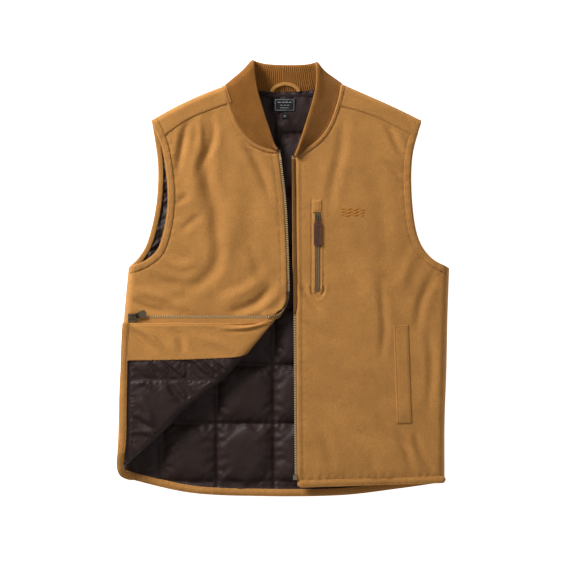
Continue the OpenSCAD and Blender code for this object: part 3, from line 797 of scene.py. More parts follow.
# Stitch lines, and the rows of stitches of each front: line, depth, width, puckers and seed
zip_stitch_left, zip_stitch_right = beside(teeth_left, 15), beside(teeth_right, -15)
SEAMS_LEFT = [
    (zip_stitch_left, 0.8, 1.5, 0.3, 5), (beside(armhole_left, -BAND_W), 0.9, 1.5, 0.4, 6),
    (beside(neck_left, 7.6), 0.7, 1.3, 0.2, 10), (beside(hem_left, HEM_W), 0.9, 1.6, 0.5, 7),
    (chest_box, 0.8, 1.3, 0.15, 8), (beside(yoke_left, -4.5), 0.35, 1.4, 0.3, 9)]
SEAMS_RIGHT = [
    (zip_stitch_right, 0.8, 1.5, 0.3, 25), (beside(armhole_right, BAND_W), 0.9, 1.5, 0.4, 26),
    (beside(neck_right, -7.6), 0.9, 1.3, 0.2, 30), (beside(yoke_right, 4.5), 0.35, 1.4, 0.3, 29)]


def window(x, y):
    """1 inside the slot that the chest zip lies in, 0 outside it."""
    side = ease((WINDOW_HALF - np.abs(x - CHEST_X - WINDOW_SHIFT)) / 1.4)
    return side * ease((y - CHEST_Y0 + 0.5) / 2) * ease((CHEST_Y1 + 0.5 - y) / 2)


def front_cloth(x, y, yoke_line, seed, fold_items, seams):
    """The canvas of a front: uneven and folded, calmer beside its yoke, with its rows of stitches."""
    away = ease((to_line(x, y, yoke_line)[0] - 3) / 12)
    z = FRONT_TOP - 0.9 + (0.15 + 0.75 * away) * cloth_noise(x, y, seed) + away * folds(x, y, fold_items)
    for line, *values in seams:
        z += seam(x, y, line, *values)
    return z


def z_left(x, y):
    """The left front's height: its cloth, the zip's lip and the chest zip's slot, lips and pucker."""
    z = front_cloth(x, y, yoke_left, 3, FOLDS_LEFT, SEAMS_LEFT)
    z += 1.0 * bell(to_line(x, y, beside(teeth_left, 9))[0], 5)
    near = np.abs(x - CHEST_X - WINDOW_SHIFT) - WINDOW_HALF - 1.6
    z += 0.9 * bell(near, 1.8) * ease((y - CHEST_Y0) / 6) * ease((CHEST_Y1 - y) / 6)
    inner = x - x_at(teeth_left, y)
    z -= 2.6 * (1 - ease((inner - 2) / 8)) * ease((y + 90) / 60) * ease((216 - y) / 8)
    hem = y - np.interp(x, [26, HEM_CORNER_L[0]], [-363, -355])
    z -= 2.2 * (1 - ease(hem / 30))
    ring = to_line(x, y, pucker)[0]
    z += 0.9 * bell(ring - 4.5, 2.6) - 0.8 * bell(ring, 2)
    z -= 0.9 * bell(x - CHEST_X, 11) * ease((y + 72) / 12) * ease((-14 - y) / 10)
    return rolled(x, y, z - 5.0 * window(x, y), [side_left], SIDE_ROLL, 3)


def z_right(x, y):
    """The right front's height: raised over the folded corner's roll, and flat under the corner."""
    z = front_cloth(x, y, yoke_right, 23, FOLDS_RIGHT, SEAMS_RIGHT)
    z += 2.6 * bell(to_line(x, y, smooth([[-90, -52], [-30, -46], [2, -14]]))[0], 18)
    z += 4.0 * bell(to_line(x, y, smooth([[-30, -63], [-11, -60], [-3, -54], [3, -44]]))[0], 7)
    under = ease((-64 - y) / 10)
    z = z * (1 - under) + (FRONT_TOP - 0.3 + 0.15 * cloth_noise(x, y, 40)) * under
    return rolled(x, y, z, [side_right], SIDE_ROLL, 3)


# ---- Left front canvas ----


def rows_y(low, high, pitch, fine=()):
    """Row heights from low to high, with millimetre rows within 5 mm of each fine height."""
    ys = list(np.linspace(low, high, int((high - low) / pitch) + 1))
    for f in fine:
        ys += list(np.arange(f - 5, f + 5.5, 1.0))
    ys = np.array(sorted(ys))
    keep = np.concatenate([[True], np.diff(ys) > 0.6])
    keep[-1] = True
    return ys[keep]


def canvas_rows(ys, inner, outer, offsets):
    """Rows with fixed offsets from their inner end, then evenly spread points, then an edge strip."""
    count, edge = 64, SIDE_ROLL + 3
    rows = []
    for v in ys:
        a, b = inner(v), outer(v)
        width, sign = abs(b - a), (1 if b > a else -1)
        near = offsets * min(1, width / 160)
        strip = min(edge, width * 0.2)
        middle = np.linspace(near[-1], width - strip, count + 1)[1:]
        end = width - strip * (1 - np.sin(np.linspace(0, math.pi / 2, 12)[1:]))
        rows.append(a + sign * np.concatenate([near, middle, end]))
    x = np.array(rows)
    return x, np.repeat(ys[:, None], x.shape[1], 1)


def outer_left(v):
    """The left front's outer x at height v."""
    return edge_at(v, (254, yoke_left), (18, armhole_left), (BELOW_HEM, side_left))


def inner_left(v):
    """The left front's inner x at height v: over the teeth above, and clear of them lower down."""
    show = -0.5 + 5.5 * float(ease((30 - v) / 90))
    return float(x_at(neck_left, v) if v > 213 else x_at(teeth_left, v) + show)


left_offsets = np.concatenate([np.arange(0, 24, 2.4), np.arange(24, 50, 0.9), np.arange(50, 60, 2.4)])
ys = rows_y(-357, 303.5, 3.0, (CHEST_Y0, CHEST_Y1, 218, 228, 238))
x, y = canvas_rows(ys, inner_left, outer_left, left_offsets)
lift = 1 - ease((y - ys[0]) / 60)
y = y + lift * (np.interp(x, hem_left[:, 0], hem_left[:, 1]) + 3 - ys[0])
canvas_left = closed_sheet("canvas_front_left", points(x, y, z_left(x, y)), CLOTH_T)
piece(canvas_left, CANVAS, nodes=["front_left_shell"])


# ---- Right front canvas, down to the fold ----


def x_fold(v, d):
    """The x at height v that lies d beyond the fold line, towards the folded corner."""
    return FOLD_TOP[0] + (d - (v - FOLD_TOP[1]) * fold_n[1]) / fold_n[0]


fold_edge_y = fold_edge[np.argsort(fold_edge[:, 1])]


def crease_x(v):
    """The x of the inner crease, where the front's canvas turns over onto the folded corner."""
    return min(x_fold(v, 3.5), float(np.interp(v, fold_edge_y[:, 1], fold_edge_y[:, 0])) - 7.5)


def outer_right(v):
    """The right front's outer x at height v."""
    return edge_at(v, (249, yoke_right), (20, armhole_right), (BELOW_HEM, side_right))


under_edge = smooth([[4.5, -22], [5.6, -34], [3.0, -43], [-1.5, -51], [-8, -58], [-17, -64], [-30, -74],
                     [-46, -92]])


def inner_right(v):
    """The right front's inner x at height v: beside the teeth, then under the folded corner."""
    if v > 221:
        return float(x_at(neck_right, v))
    if v > -22:
        return float(x_at(teeth_right, v) - 5)
    if v > -56:
        return float(x_at(under_edge, v))
    return min(crease_x(v), float(x_at(under_edge, v)))


right_offsets = np.arange(0, 60, 2.4)
ys = rows_y(-318, 308, 3.0, (218, 227, 236, 245))
x, y = canvas_rows(ys, inner_right, outer_right, right_offsets)
canvas_right = closed_sheet("canvas_front_right", points(x, y, z_right(x, y))[:, ::-1], CLOTH_T)
piece(canvas_right, CANVAS, nodes=["front_right_shell"])


# ---- Back canvas and yokes ----


def back_low(v):
    """The back's right-hand edge at height v."""
    return edge_at(v, (TIP_R[1], shoulder_right), (UNDERARM_R[1], armhole_right_back),
                   (BELOW_HEM, side_right))


def back_high(v):
    """The back's left-hand edge at height v."""
    return edge_at(v, (TIP_L[1], shoulder_left), (UNDERARM_L[1], armhole_left), (BELOW_HEM, side_left))


SEAM_X = [-213.5, -115.5, -16, 83, 182]
SEAM_Y = [-354, -253, -151, -50, 51, 152, 253]


def back_grid(inset, per_panel, pitch, top=323):
    """A grid over the back whose columns keep to the quilt's seams, and which of them are seams."""
    ys = [-367.0 + inset * 0.5]
    marks = [v for v in SEAM_Y if v > ys[0] + 4] + [top]
    seam_rows = []
    for v in marks:
        n = max(2, int(round((v - ys[-1]) / pitch)))
        ys += list(np.linspace(ys[-1], v, n + 1)[1:])
        seam_rows.append(len(ys) - 1)
    seam_rows = seam_rows[:-1]
    ys = np.array(ys)
    keys = np.cumsum([0, int(0.8 * per_panel)] + [per_panel] * 5)
    rows = []
    for v in ys:
        low, high = back_low(v) + inset, back_high(v) - inset
        a = low + (SEAM_X[1] - low) * (SEAM_X[0] + HALF_W) / (SEAM_X[1] + HALF_W)
        b = high - (high - SEAM_X[3]) * (HALF_W - SEAM_X[4]) / (HALF_W - SEAM_X[3])
        at = [low, a, SEAM_X[1], SEAM_X[2], SEAM_X[3], b, high]
        rows.append(np.interp(np.arange(keys[-1] + 1), keys, at))
    x = np.array(rows)
    y = np.repeat(ys[:, None], x.shape[1], 1)
    shoulder = np.minimum(y_at(shoulder_left, x), y_at(shoulder_right, x))
    neck = np.minimum(np.interp(x, neck_back[:, 0], neck_back[:, 1]) + 3, shoulder - 5)
    y += ease((y - 270) / (ys[-1] - 270)) * (neck - ys[-1])
    low_edge = np.interp(x, hem_back[:, 0], hem_back[:, 1]) + inset
    y += (1 - ease((y - ys[0]) / 70)) * (low_edge - ys[0])
    return x, y, keys[1:-1], seam_rows


x, y, _, _ = back_grid(2.0, 22, 6.0, 326)
canvas_back = closed_sheet("canvas_back", points(x, y, 2.2 + 0.15 * noise(x, y, 60, 61)), points(x, y, 0.4))
piece(canvas_back, CANVAS, nodes=["back_shell"])


def yoke(name, seam_line, shoulder, neck_x, tip_x, height):
    """A shoulder yoke: from the front's seam over the shoulder and down to the back's seam."""
    n, low = 72, 1.0
    front, edge = along(seam_line, n), along(shoulder, n)
    back = np.stack([np.linspace(neck_x, tip_x, n), np.minimum(BACK_YOKE_Y + 4.0, edge[:, 1] - 40)], 1)
    inward = front - edge
    reach = np.linalg.norm(inward, axis=1)
    inward /= reach[:, None]
    rows = []
    for k in np.concatenate([[0, 0.03], np.linspace(0.07, 1, 24)]):
        p = edge + inward * (reach + 5 - k * (reach + 5 - SHOULDER_ROLL))[:, None]
        lift = 0.9 - 0.9 * (1 - min(1.0, 9 * k)) ** 2 - 0.25 * bell(k - 0.16, 0.04)
        rows.append(at_height(p, height(p[:, 0], p[:, 1]) + lift))
    crest = rows[-1][:, 2]
    for a in np.linspace(0, math.pi, 19)[1:]:
        p = edge + inward * SHOULDER_ROLL * (1 - math.sin(a))
        rows.append(at_height(p, (crest + low) / 2 + (crest - low) / 2 * math.cos(a)))
    turn = rows[-1][:, :2]
    rows += [at_height(turn + (back - turn) * k, low) for k in np.linspace(0, 1, 10)[1:]]
    grid = np.array(rows)
    return closed_sheet(name, grid if tip_x > neck_x else grid[:, ::-1], CLOTH_T)


def yoke_height(seed):
    """The yoke's height: flatter than the front, with the same unevenness as the front's seed."""
    return lambda x, y: FRONT_TOP - 0.4 + 0.15 * cloth_noise(x, y, seed)


z_yoke_left, z_yoke_right = yoke_height(3), yoke_height(23)
yoke_left_piece = yoke("yoke_left", yoke_left, shoulder_left, NECK_L[0] - 2, 218, z_yoke_left)
yoke_right_piece = yoke("yoke_right", yoke_right, shoulder_right, NECK_R[0] + 2, -214, z_yoke_right)
for obj in (yoke_left_piece, yoke_right_piece):
    piece(obj, CANVAS, nodes=["shoulder_yoke"])


def over_yoke(height, upper_height, seam_line, shoulder):
    """The height of what lies on a front, and further up on its yoke, to the shoulder's edge."""
    def total(x, y):
        above = ease((y - y_at(seam_line, x) + 8) / 8)
        z = height(x, y) * (1 - above) + (upper_height(x, y) + 0.7) * above
        return rolled(x, y, z, [shoulder], SHOULDER_ROLL, FRONT_TOP / 2 + 1)
    return total


edge_height_left = over_yoke(z_left, z_yoke_left, yoke_left, shoulder_left)
edge_height_right = over_yoke(z_right, z_yoke_right, yoke_right, shoulder_right)


# ---- Quilts ----


def ripples(x, y, line, seed):
    """Gathers that run away from a seam on both sides."""
    reach, depth, pitch = 4.5, 0.75, 4.6
    d, s, side = to_line(x, y, line)
    run = s * lengths(line[:, :2])[-1]
    phase = run / pitch + 2.2 * noise(run, side * 40, 22, seed) + 0.06 * d * side
    strength = 0.4 + 0.6 * np.abs(noise(run, side * 60, 34, seed + 3))
    return depth * strength * np.sin(phase * math.pi) * bell(d - reach * 0.8, reach)


def quilt_detail(x, y, lines, seed, crease_depth, gather):
    """Seam grooves, gathers beside them and creases over the puffs, on top of the swollen cloth."""
    z = np.zeros(x.shape)
    for k, line in enumerate(lines):
        z += gather * ripples(x, y, line, seed + 7 * k) - 2.8 * bell(to_line(x, y, line)[0], 2.6)
    crease = noise(x + 14 * noise(x, y, 60, seed), 0.7 * y, 42, seed + 50)
    z += 0.9 * (0.35 - np.abs(crease)) * crease_depth + 0.25 * noise(x, y, 13, seed + 51)
    return z


def swell(x, y, pinned, height, pressure, grow):
    """Where a flat quilt's points end up, by simulation from a smooth guess."""
    flat = points(x, y, 0.0)
    pins = flat[pinned]
    tree = KDTree(len(pins))
    for i, p in enumerate(pins):
        tree.insert(p, i)
    tree.balance()
    reach = np.array([tree.find(p)[2] for p in flat.reshape(-1, 3)]).reshape(x.shape)
    start = height * (1 - np.exp(-(reach / 26) ** 1.3))
    return settle(points(x, y, start * 0.35), pinned, pressure, grow)


def crown(z, height):
    """Swollen heights scaled so that the fullest puffs reach about the given height."""
    rise = np.maximum(z, 0)
    rise = rise * height / np.percentile(rise, 98)
    return 1.4 * height * (1 - np.exp(-rise / (1.4 * height)))


def refine(grid):
    """The grid with a point between each two of its points, on smooth curves through them."""
    for _ in range(2):
        g = np.concatenate([2 * grid[:1] - grid[1:2], grid, 2 * grid[-1:] - grid[-2:-1]])
        halfway = between(g[:-3], g[1:-2], g[2:-1], g[3:], 0.5)
        out = np.stack([grid[:-1], halfway], 1).reshape(-1, *grid.shape[1:])
        grid = np.concatenate([out, grid[-1:]]).swapaxes(0, 1)
    return grid


def border(shape):
    """True along a grid's border."""
    edge = np.ones(shape, bool)
    edge[1:-1, 1:-1] = False
    return edge


x, y, seam_cols, seam_rows = back_grid(7.0, 16, 6.0)
pinned = border(x.shape)
pinned[:, seam_cols] = True
pinned[seam_rows] = True
quilt = refine(swell(x, y, pinned, 7.0, 2.4, 0.012))
lines = [np.array([[v, -365], [v, 322]], float) for v in SEAM_X]
lines += [np.array([[-290, v], [290, v]], float) for v in SEAM_Y]
detail = quilt_detail(quilt[:, :, 0], quilt[:, :, 1], lines, 70, 1.9, 0.8)
quilt[:, :, 2] = crown(quilt[:, :, 2], 13.0) + detail + BACK_TOP - 3.4
quilt_back = closed_sheet("quilt_back", quilt, at_height(quilt, 2.6))
piece(quilt_back, LINING, nodes=["back_fill", "back_lining"])

QUILT_INSET = 12


def front_quilt(name, ys, inner, outer, height, seed, nodes):
    """A front's padding and lining under its canvas, with the lining's puffs facing down."""
    x, y = build_rows(ys, inner, outer, 60, 6)
    d = np.minimum.reduce([np.abs(x - v) for v in SEAM_X] + [np.abs(y - v) for v in SEAM_Y])
    near = np.minimum.reduce([height(x + a, y + b) for a, b in ((0, 0), (5, 0), (-5, 0), (0, 5), (0, -5))])
    top = points(x, y, np.minimum(near - CLOTH_T - 2.4, 21.0))
    puff = 2.6 * (1 - bell(d, 9)) + 0.4 * noise(x, y, 20, seed)
    low = points(x, y, np.minimum(FRONT_LOW + 2.4 - puff, top[:, :, 2] - 1.0))
    if x[0, -1] < x[0, 0]:
        top, low = top[:, ::-1], low[:, ::-1]
    quilt = closed_sheet(name, top, low)
    piece(quilt, LINING, nodes=nodes)


front_quilt("quilt_front_left", rows_y(-347, 300, 6.0), lambda v: max(30, inner_left(v) + 8),
            lambda v: outer_left(v) - QUILT_INSET, z_left, 81, ["front_left_fill", "front_left_lining"])
front_quilt("quilt_front_right", rows_y(-312, 300, 6.0), lambda v: inner_right(v) - 8,
            lambda v: outer_right(v) + QUILT_INSET, z_right, 82, ["front_right_fill", "front_right_lining"])


# ---- The folded corner ----

ROLL = 13.0
ROLL_X = ROLL / abs(fold_n[0])
CORNER_Y = -334
FLAP_SEAM_X = [-266, -166, -66]
FLAP_SEAM_Y = [-174, -274]
FLAP_INNER_X = span("flap_lining")[0][0]


def edge_x(v):
    """The fold's outermost x at height v."""
    return float(x_at(fold_edge, v))


def roll_width(v):
    """The roll's half width at height v: it gets tighter towards the hem's corner."""
    return ROLL_X * (0.45 + 0.55 * ease((v - CORNER_Y) / 90))


def on_roll(x, y, z):
    """Wraps a flat layer round the fold: x runs on past the crest and comes back underneath."""
    roll = roll_width(y)
    crest = np.vectorize(edge_x)(y) - roll
    over = np.maximum(x - crest, 0)
    half = (FLAP_TOP - FOLD_Z) * (0.66 + 0.34 * ease((y - CORNER_Y) / 50))
    angle = np.clip(over / roll, 0, math.pi)
    tail = np.maximum(over - math.pi * roll, 0)
    wide = roll + np.maximum(z, -1) * 1.2
    new_x = np.where(over > 0, crest + wide * np.sin(angle) - tail, x)
    return points(new_x, y, FOLD_Z + (half + z) * np.cos(angle))


ys = np.linspace(-322, -131, 34)
grid = []
for v in ys:
    crest = edge_x(v) - roll_width(v)
    row = np.linspace(FLAP_INNER_X - 3, crest + math.pi * roll_width(v), 60)
    past = ease((row - crest + 6) / (math.pi * ROLL_X)) * (v - ys[0]) / (ys[-1] - ys[0])
    grid.append(np.stack([row, v + 21 * past], 1))
x, y = np.moveaxis(np.array(grid), 2, 0)
pinned = border(x.shape)
for v in FLAP_SEAM_Y:
    pinned |= np.abs(y - v) < 3.1
for v in FLAP_SEAM_X[1:]:
    pinned |= np.abs(x - v) < 2.0
quilt = refine(refine(swell(x, y, pinned, 4.0, 1.6, 0.015)))
x, y, z = np.moveaxis(quilt, 2, 0)
lines = [np.array([[v, -330], [v, -120]], float) for v in FLAP_SEAM_X]
lines += [np.array([[-275, v], [0, v]], float) for v in FLAP_SEAM_Y]
z = crown(z, 6.5) - 2.4 + quilt_detail(x, y, lines, 90, 1.25, 0.85) + 1.35 * folds(x, y, [
    ([[-210, -141], [-194, -156], [-176, -172]], -1.5, 3.6),
    ([[-163, -141], [-150, -154], [-134, -170]], -1.7, 3.4),
    ([[-143, -141], [-130, -153], [-114, -168]], -1.4, 3.2),
    ([[-122, -141], [-112, -150], [-98, -161]], -1.3, 3),
    ([[-200, -177], [-188, -196], [-170, -217]], -1.6, 5),
    ([[-176, -178], [-160, -200], [-150, -214]], -1.2, 4.5),
    ([[-262, -185], [-240, -178], [-226, -190]], 1.1, 5),
    ([[-252, -200], [-232, -232], [-226, -262]], 1.2, 7),
    ([[-262, -238], [-242, -250], [-214, -262]], -1.2, 6),
    ([[-262, -285], [-250, -296], [-236, -300]], 1.0, 5),
    ([[-228, -146], [-220, -156], [-214, -168]], -1.1, 4)])
quilt_flap = closed_sheet("quilt_flap", on_roll(x, y, np.maximum(z, -3.2) - 0.4), 2.2)
piece(quilt_flap, LINING, None, ["flap_lining"])


def across_fold(obj):
    """Bakes the piece's placement into its mesh."""
    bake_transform(obj)


across_fold(quilt_flap)

# Padding inside the folded corner
ys = np.linspace(-304, -90, 24)
rows = [np.linspace(FLAP_INNER_X + 2, crease_x(v) - 18, 30) for v in ys]
x, y = np.array(rows), np.repeat(ys[:, None], 30, 1)
pad = closed_sheet("padding_flap", points(x, y, 33.8 + 0.2 * noise(x, y, 30, 5)), points(x, y, 32.4))
piece(pad, LINING, "flap", ["flap_fill"])

# The canvas on the folded corner's other face, with the crease that joins it to the front
n = 70
r = (FLAP_LOW - FRONT_TOP) / 2 + 0.3
turn = np.linspace(0, math.pi, 27)
zs = FOLD_Z + np.concatenate([np.full(n, r), r * np.cos(turn), [-r]])
crease = []
for v in np.linspace(-316, -80, 86):
    cx = crease_x(v)
    flat_x = np.linspace(FLAP_INNER_X - 8, cx - 3, n)
    bent_x = cx + 0.6 * (x_fold(v, 0) - x_fold(v, r)) * np.sin(turn)
    crease.append(points(np.concatenate([flat_x, bent_x, [cx - 3]]), v, zs))
crease = np.array(crease)
crease[:, :n, 2] += 0.15 * cloth_noise(crease[:, :n, 0], crease[:, :n, 1], 44)
canvas_flap = closed_sheet("canvas_flap", crease + grid_normals(crease) * 1.2, crease)
piece(canvas_flap, CANVAS, None, ["flap_shell"])
across_fold(canvas_flap)

# The canvas facing beside the zip, rolling over the fold's upper end
facing_a = smooth([[-271, -76.5, 34.0], [-160, -76, 34.0], [-70, -76, 34.0], [-50, -75.5, 34.0],
                   [-36, -74, 34.0], [-26, -72.5, 33.4], [-17, -70, 32.2], [-10, -66, 30.2],
                   [-5, -60.5, 27.6], [-0.5, -52, 24.5], [3.5, -42, 20.5], [5.5, -32, 18]])
facing_b = smooth([[-271, -141, 38.6], [-180, -139.5, 39], [-100, -136.5, 39], [-78, -134.5, 38.6],
                   [-66, -131.5, 35.5], [-60.5, -128, 29], [-64, -124, 22], [-74, -117, 17.4]])
LIP_SHARE = 0.08
v = np.concatenate([np.linspace(0, LIP_SHARE, 8)[:-1], np.linspace(LIP_SHARE, 1, 44)])[:, None, None]
grid = along(facing_a, 190) * (1 - v) + along(facing_b, 190) * v
lip = 2.6 * np.sqrt(np.clip(1 - (1 - np.clip(v / LIP_SHARE, 0, 1)) ** 2, 0, 1))
grid[:, :, 2:] += lip * (1 - v) * ease((-40 - grid[:, :, 0:1]) / 40)
x, y = grid[:, :, 0], grid[:, :, 1]
d = to_line(x, y, facing_a)[0]
detail = 0.4 * bell(d - 4, 4) - 0.7 * bell(d - 3.4, 0.9)
detail += folds(x, y, [([[-262, -84], [-246, -104], [-226, -124]], -1.1, 5),
                       ([[-260, -80], [-232, -96], [-206, -124]], 1.9, 6),
                       ([[-200, -86], [-180, -100], [-172, -130]], -1.6, 8),
                       ([[-90, -80], [-52, -77], [-18, -66]], -2.0, 3.5),
                       ([[-110, -86], [-60, -84], [-22, -72]], 1.4, 3.5),
                       ([[-150, -100], [-110, -112], [-84, -128]], 1.0, 8)])
detail += 0.5 * cloth_noise(x, y, 52)
normal = grid_normals(grid)
grid += normal * detail[:, :, None] * np.sign(normal[5, 5, 2])
facing = closed_sheet("facing_flap", upward(grid, 20, 20), 1.4)
piece(facing, CANVAS_FACING, None, ["flap_facing"])
across_fold(facing)


# ---- Collar ----

COLLAR_TIP_L, COLLAR_TIP_R = [57.5, 377.5], [-52, 380.5]
COLLAR_TOP = span("rib_collar")[1][2]
RIB_PITCH = 3.5
RIB_STEPS = 8
COLLAR_WAIST_L, COLLAR_WAIST_R = 7.0, 4.5
collar_in_left = smooth([[22, 213], [24, 222], [41, 274], [56, 330], COLLAR_TIP_L])
collar_in_right = smooth([[-11, 224], [-15, 232], [-23, 256], [-33, 286], [-46, 332], COLLAR_TIP_R])


def collar_half(base, top, n, rows):
    """The middle surface of one front half, from the neckline's lower end to the side fold."""
    k = np.linspace(0, 1, n) ** 0.9
    k = np.sin(k * math.pi / 2) ** 1.1 * 0.6 + k * 0.4
    k = (k - k[0]) / (k[-1] - k[0])
    pick = np.linspace(0, 1, 400)
    ends = [np.stack([np.interp(k, pick, axis) for axis in along(line, 400).T], 1) for line in (base, top)]
    v = np.linspace(0, 1, rows)[:, None, None]
    return ends[0] * (1 - v) + ends[1] * v


def collar():
    """The collar's middle surface, from the right front round the neck's back to the left front."""
    rows, n_half, n_back = 30, 330, 330
    right = collar_half(neck_right[::-1], collar_in_right, n_half, rows)
    left = collar_half(neck_left[::-1], collar_in_left, n_half, rows)
    across = np.linspace(NECK_R[0], NECK_L[0], n_back)
    back_base = np.stack([across, y_at(neck_back, across)], 1)
    straight_r, straight_l = COLLAR_TIP_R[0] + 3, COLLAR_TIP_L[0] - 3
    across = np.interp(across, [NECK_R[0], straight_r, straight_l, NECK_L[0]],
                       [COLLAR_TIP_R[0], straight_r, straight_l, COLLAR_TIP_L[0]])
    top_line = smooth([COLLAR_TIP_R, [-30, 374.5], [7, 372.5], [38, 373.5], COLLAR_TIP_L])
    back_top = np.stack([across, y_at(top_line, across)], 1)
    v = np.linspace(0, 1, rows)[:, None, None]
    back = back_base * (1 - v) + back_top * v
    flat = np.concatenate([right, back[:, 1:-1], left[:, ::-1]], 1)
    radius, high, low = 12.0, COLLAR_TOP - 4.2, 4.6
    middle = (high + low) / 2
    x, y = flat[:, :, 0], flat[:, :, 1]
    side_folds = np.array([[NECK_R, COLLAR_TIP_R], [NECK_L, COLLAR_TIP_L]], float)
    d = np.minimum.reduce([to_line(x, y, line)[0] for line in side_folds])
    bend = np.sqrt(1 - (1 - np.clip(d / radius, 0, 1)) ** 2)
    front = np.ones(flat.shape[1], bool)
    front[n_half:n_half + n_back - 2] = False
    up = np.linspace(0, 1, rows)[:, None]
    front_z = high - 3.5 + 12.5 * up + 2.0 * bell(up, 0.12)
    back_z = low - 1.2 + 7.5 * up
    z = middle + (np.where(front, front_z, back_z) - middle) * bend
    x = x - np.where(x > 0, COLLAR_WAIST_L, -COLLAR_WAIST_R) * np.sin(math.pi * up) * bell(d, 45)
    return points(x, y, z)


mid = collar()
base_run = lengths(mid[11])
fine = np.linspace(0, base_run[-1], round(base_run[-1] / RIB_PITCH) * RIB_STEPS + 1)
mid = np.stack([np.stack([np.interp(fine, base_run, row[:, i]) for i in range(3)], 1) for row in mid])
v = np.linspace(0, 1, len(mid))[:, None]
wave = np.sin(np.arange(len(fine)) * 2 * math.pi / RIB_STEPS)
half = 2.9 * np.sqrt(np.clip(1 - np.clip((v - 0.82) / 0.2, 0, 1) ** 2, 0.02, 1))
half = half * (0.62 + 0.38 * ease(v / 0.25)) + 0.25 * noise(mid[:, :, 0], mid[:, :, 1], 30, 77)
spacing = np.linalg.norm(np.gradient(mid, axis=1), axis=2) * RIB_STEPS / RIB_PITCH
half = half + 0.62 * wave * (1 - 0.5 * ease((v - 0.9) / 0.1)) * np.clip(spacing, 0, 1) ** 2
normal = grid_normals(mid)
sign = np.sign(normal[8, 40, 2])
upper, lower = [mid + normal * (side * sign * half)[:, :, None] for side in (1, -1)]
for face in (upper, lower):
    face[:, :, 2] = np.maximum(face[:, :, 2], 0.3)
if sign < 0:
    upper, lower = upper[:, ::-1], lower[:, ::-1]
rib_collar = closed_sheet("collar_rib", upper, lower)
face_out(rib_collar)
piece(rib_collar, RIB, nodes=["rib_collar"])


# ---- Bands, hems and piping ----


def band(name, node, outer, width, height, thick=1.6, lift=0.9, cols=9, drop=2.6, pitch=3.0, bulge=0.5):
    """A flat band lying inside an edge: its outer side rolls down over the edge."""
    line = every(outer, pitch)
    rows = []
    for k in np.linspace(-0.02, 1, cols):
        p = beside(line, width * k)
        z = height(p[:, 0], p[:, 1]) + lift + bulge * math.sin(math.pi * np.clip(k, 0, 1)) - 0.3
        rows.append(at_height(p, z - drop * (1 - min(1.0, (k + 0.02) * 5)) ** 2))
    obj = closed_sheet(name, upward(np.array(rows), cols // 2, 5), thick)
    face_out(obj)
    return piece(obj, CANVAS, nodes=[node])


def back_band_height(x, y):
    """The height of the armhole bands on the back."""
    return BACK_TOP - 0.8 + 0.6 * noise(x, y, 30, 8)


band("armband_left", "armhole_binding_left", armhole_left[::-1], BAND_W, edge_height_left)
band("armband_right", "armhole_binding_right", armhole_right, BAND_W, edge_height_right)
for name, line in (("armband_back_right", armhole_right_back), ("armband_back_left", armhole_left[::-1])):
    band(name, "armhole_binding_right", line, 9, back_band_height, 8.0, 0.4, drop=1.5)


def hem_tube(name, path, width, thick, stitch, pucker, wander, seed, taper):
    """A bound hem: cloth folded round the edge, a little puckered by its stitches."""
    def bump(s, a, b):
        gathers = pucker * np.sin(s / 2.1 + wander * noise(s, s * 0, 25, seed))
        d = np.abs(a) - stitch
        return np.where(b > 0, gathers * bell(d, 2.5) - 0.7 * bell(d, 0.9), 0)

    path[:, 2] += 0.5 * noise(path[:, 0], path[:, 1], 40, seed)
    return swept(name, path, ring_profile(width, thick, 0.55, 36), bump=bump, taper=taper)


for name, node, line, low, high, seed in (
        ("hem_back", "hem_binding_back", hem_back, 0.6, BACK_TOP + 0.4, 11),
        ("hem_front_left", "hem_binding_front_left", hem_left, FRONT_LOW + 0.5, FRONT_TOP - 1.2, 12)):
    path = at_height(every(beside(line, HEM_W / 2), 3.0), (low + high) / 2)
    hem = hem_tube(name, path, HEM_W, high - low, HEM_W * 0.33, 0.28, 2, seed, 7.0)
    piece(hem, CANVAS, nodes=[node])

flap_hem_line = smooth([[-277.5, -73], [-279.5, -110], [-281, -160], [-282.0, -220], [-282.6, -270],
                        [-284.5, -292], [-287.5, -310], [-288, -328], [-283.5, -341.5], [-272, -349.5],
                        [-258, -352]])
path = every(beside(flap_hem_line, 6), 3.0)
z = FLAP_TOP - 4.0 - 9.0 * ease((-296 - path[:, 1]) / 40)
z -= 19.0 * (1 - ease((lengths(path)[-1] - lengths(path)) / 34))
hem = hem_tube("hem_flap", at_height(path, z), 12.5, 8.6, 4.2, 0.25, 0, 14, 6.0)
piece(hem, CANVAS, None, ["hem_binding_flap"])
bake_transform(hem)

# The folded seams beside the collar's base
for name, node, line, width, height in (
        ("neck_seam_left", "front_left_shell", within(neck_left, BELOW_HEM, neck_left[:, 1].max() - 3.5), 6.5,
         edge_height_left),
        ("neck_seam_right", "front_right_shell", neck_right, -6.5, edge_height_right)):
    band(name, node, line, width, height, 1.6, 0.6, cols=8, drop=1.0, pitch=2.5, bulge=0.7)


# ---- Inside facings beside the zip, under the fronts ----


def strip_under(name, line, near, far, z, node):
    """A facing: a flat strip beside a line of teeth, from near to far away from it."""
    line = every(line, 5.0)
    rows = []
    for d in np.linspace(near, far, 14):
        p = beside(line, d)
        rows.append(at_height(p, z + 0.15 * noise(p[:, 0], p[:, 1], 25, 3)))
    obj = closed_sheet(name, upward(np.array(rows), 2, 2), FACING_T)
    piece(obj, CANVAS_FACING, nodes=[node])


# ---- Zips ----


def tape_strip(name, node, path, width, thick=1.1, material=TAPE, body="vest"):
    """A flat woven strip along a path."""
    obj = swept(name, path, ring_profile(width, thick, 0.35, 16))
    return piece(obj, material, body, [node])


def straight(x0, y0, x1, y1, count):
    """A straight flat line of that many points."""
    return np.linspace((x0, y0), (x1, y1), count)


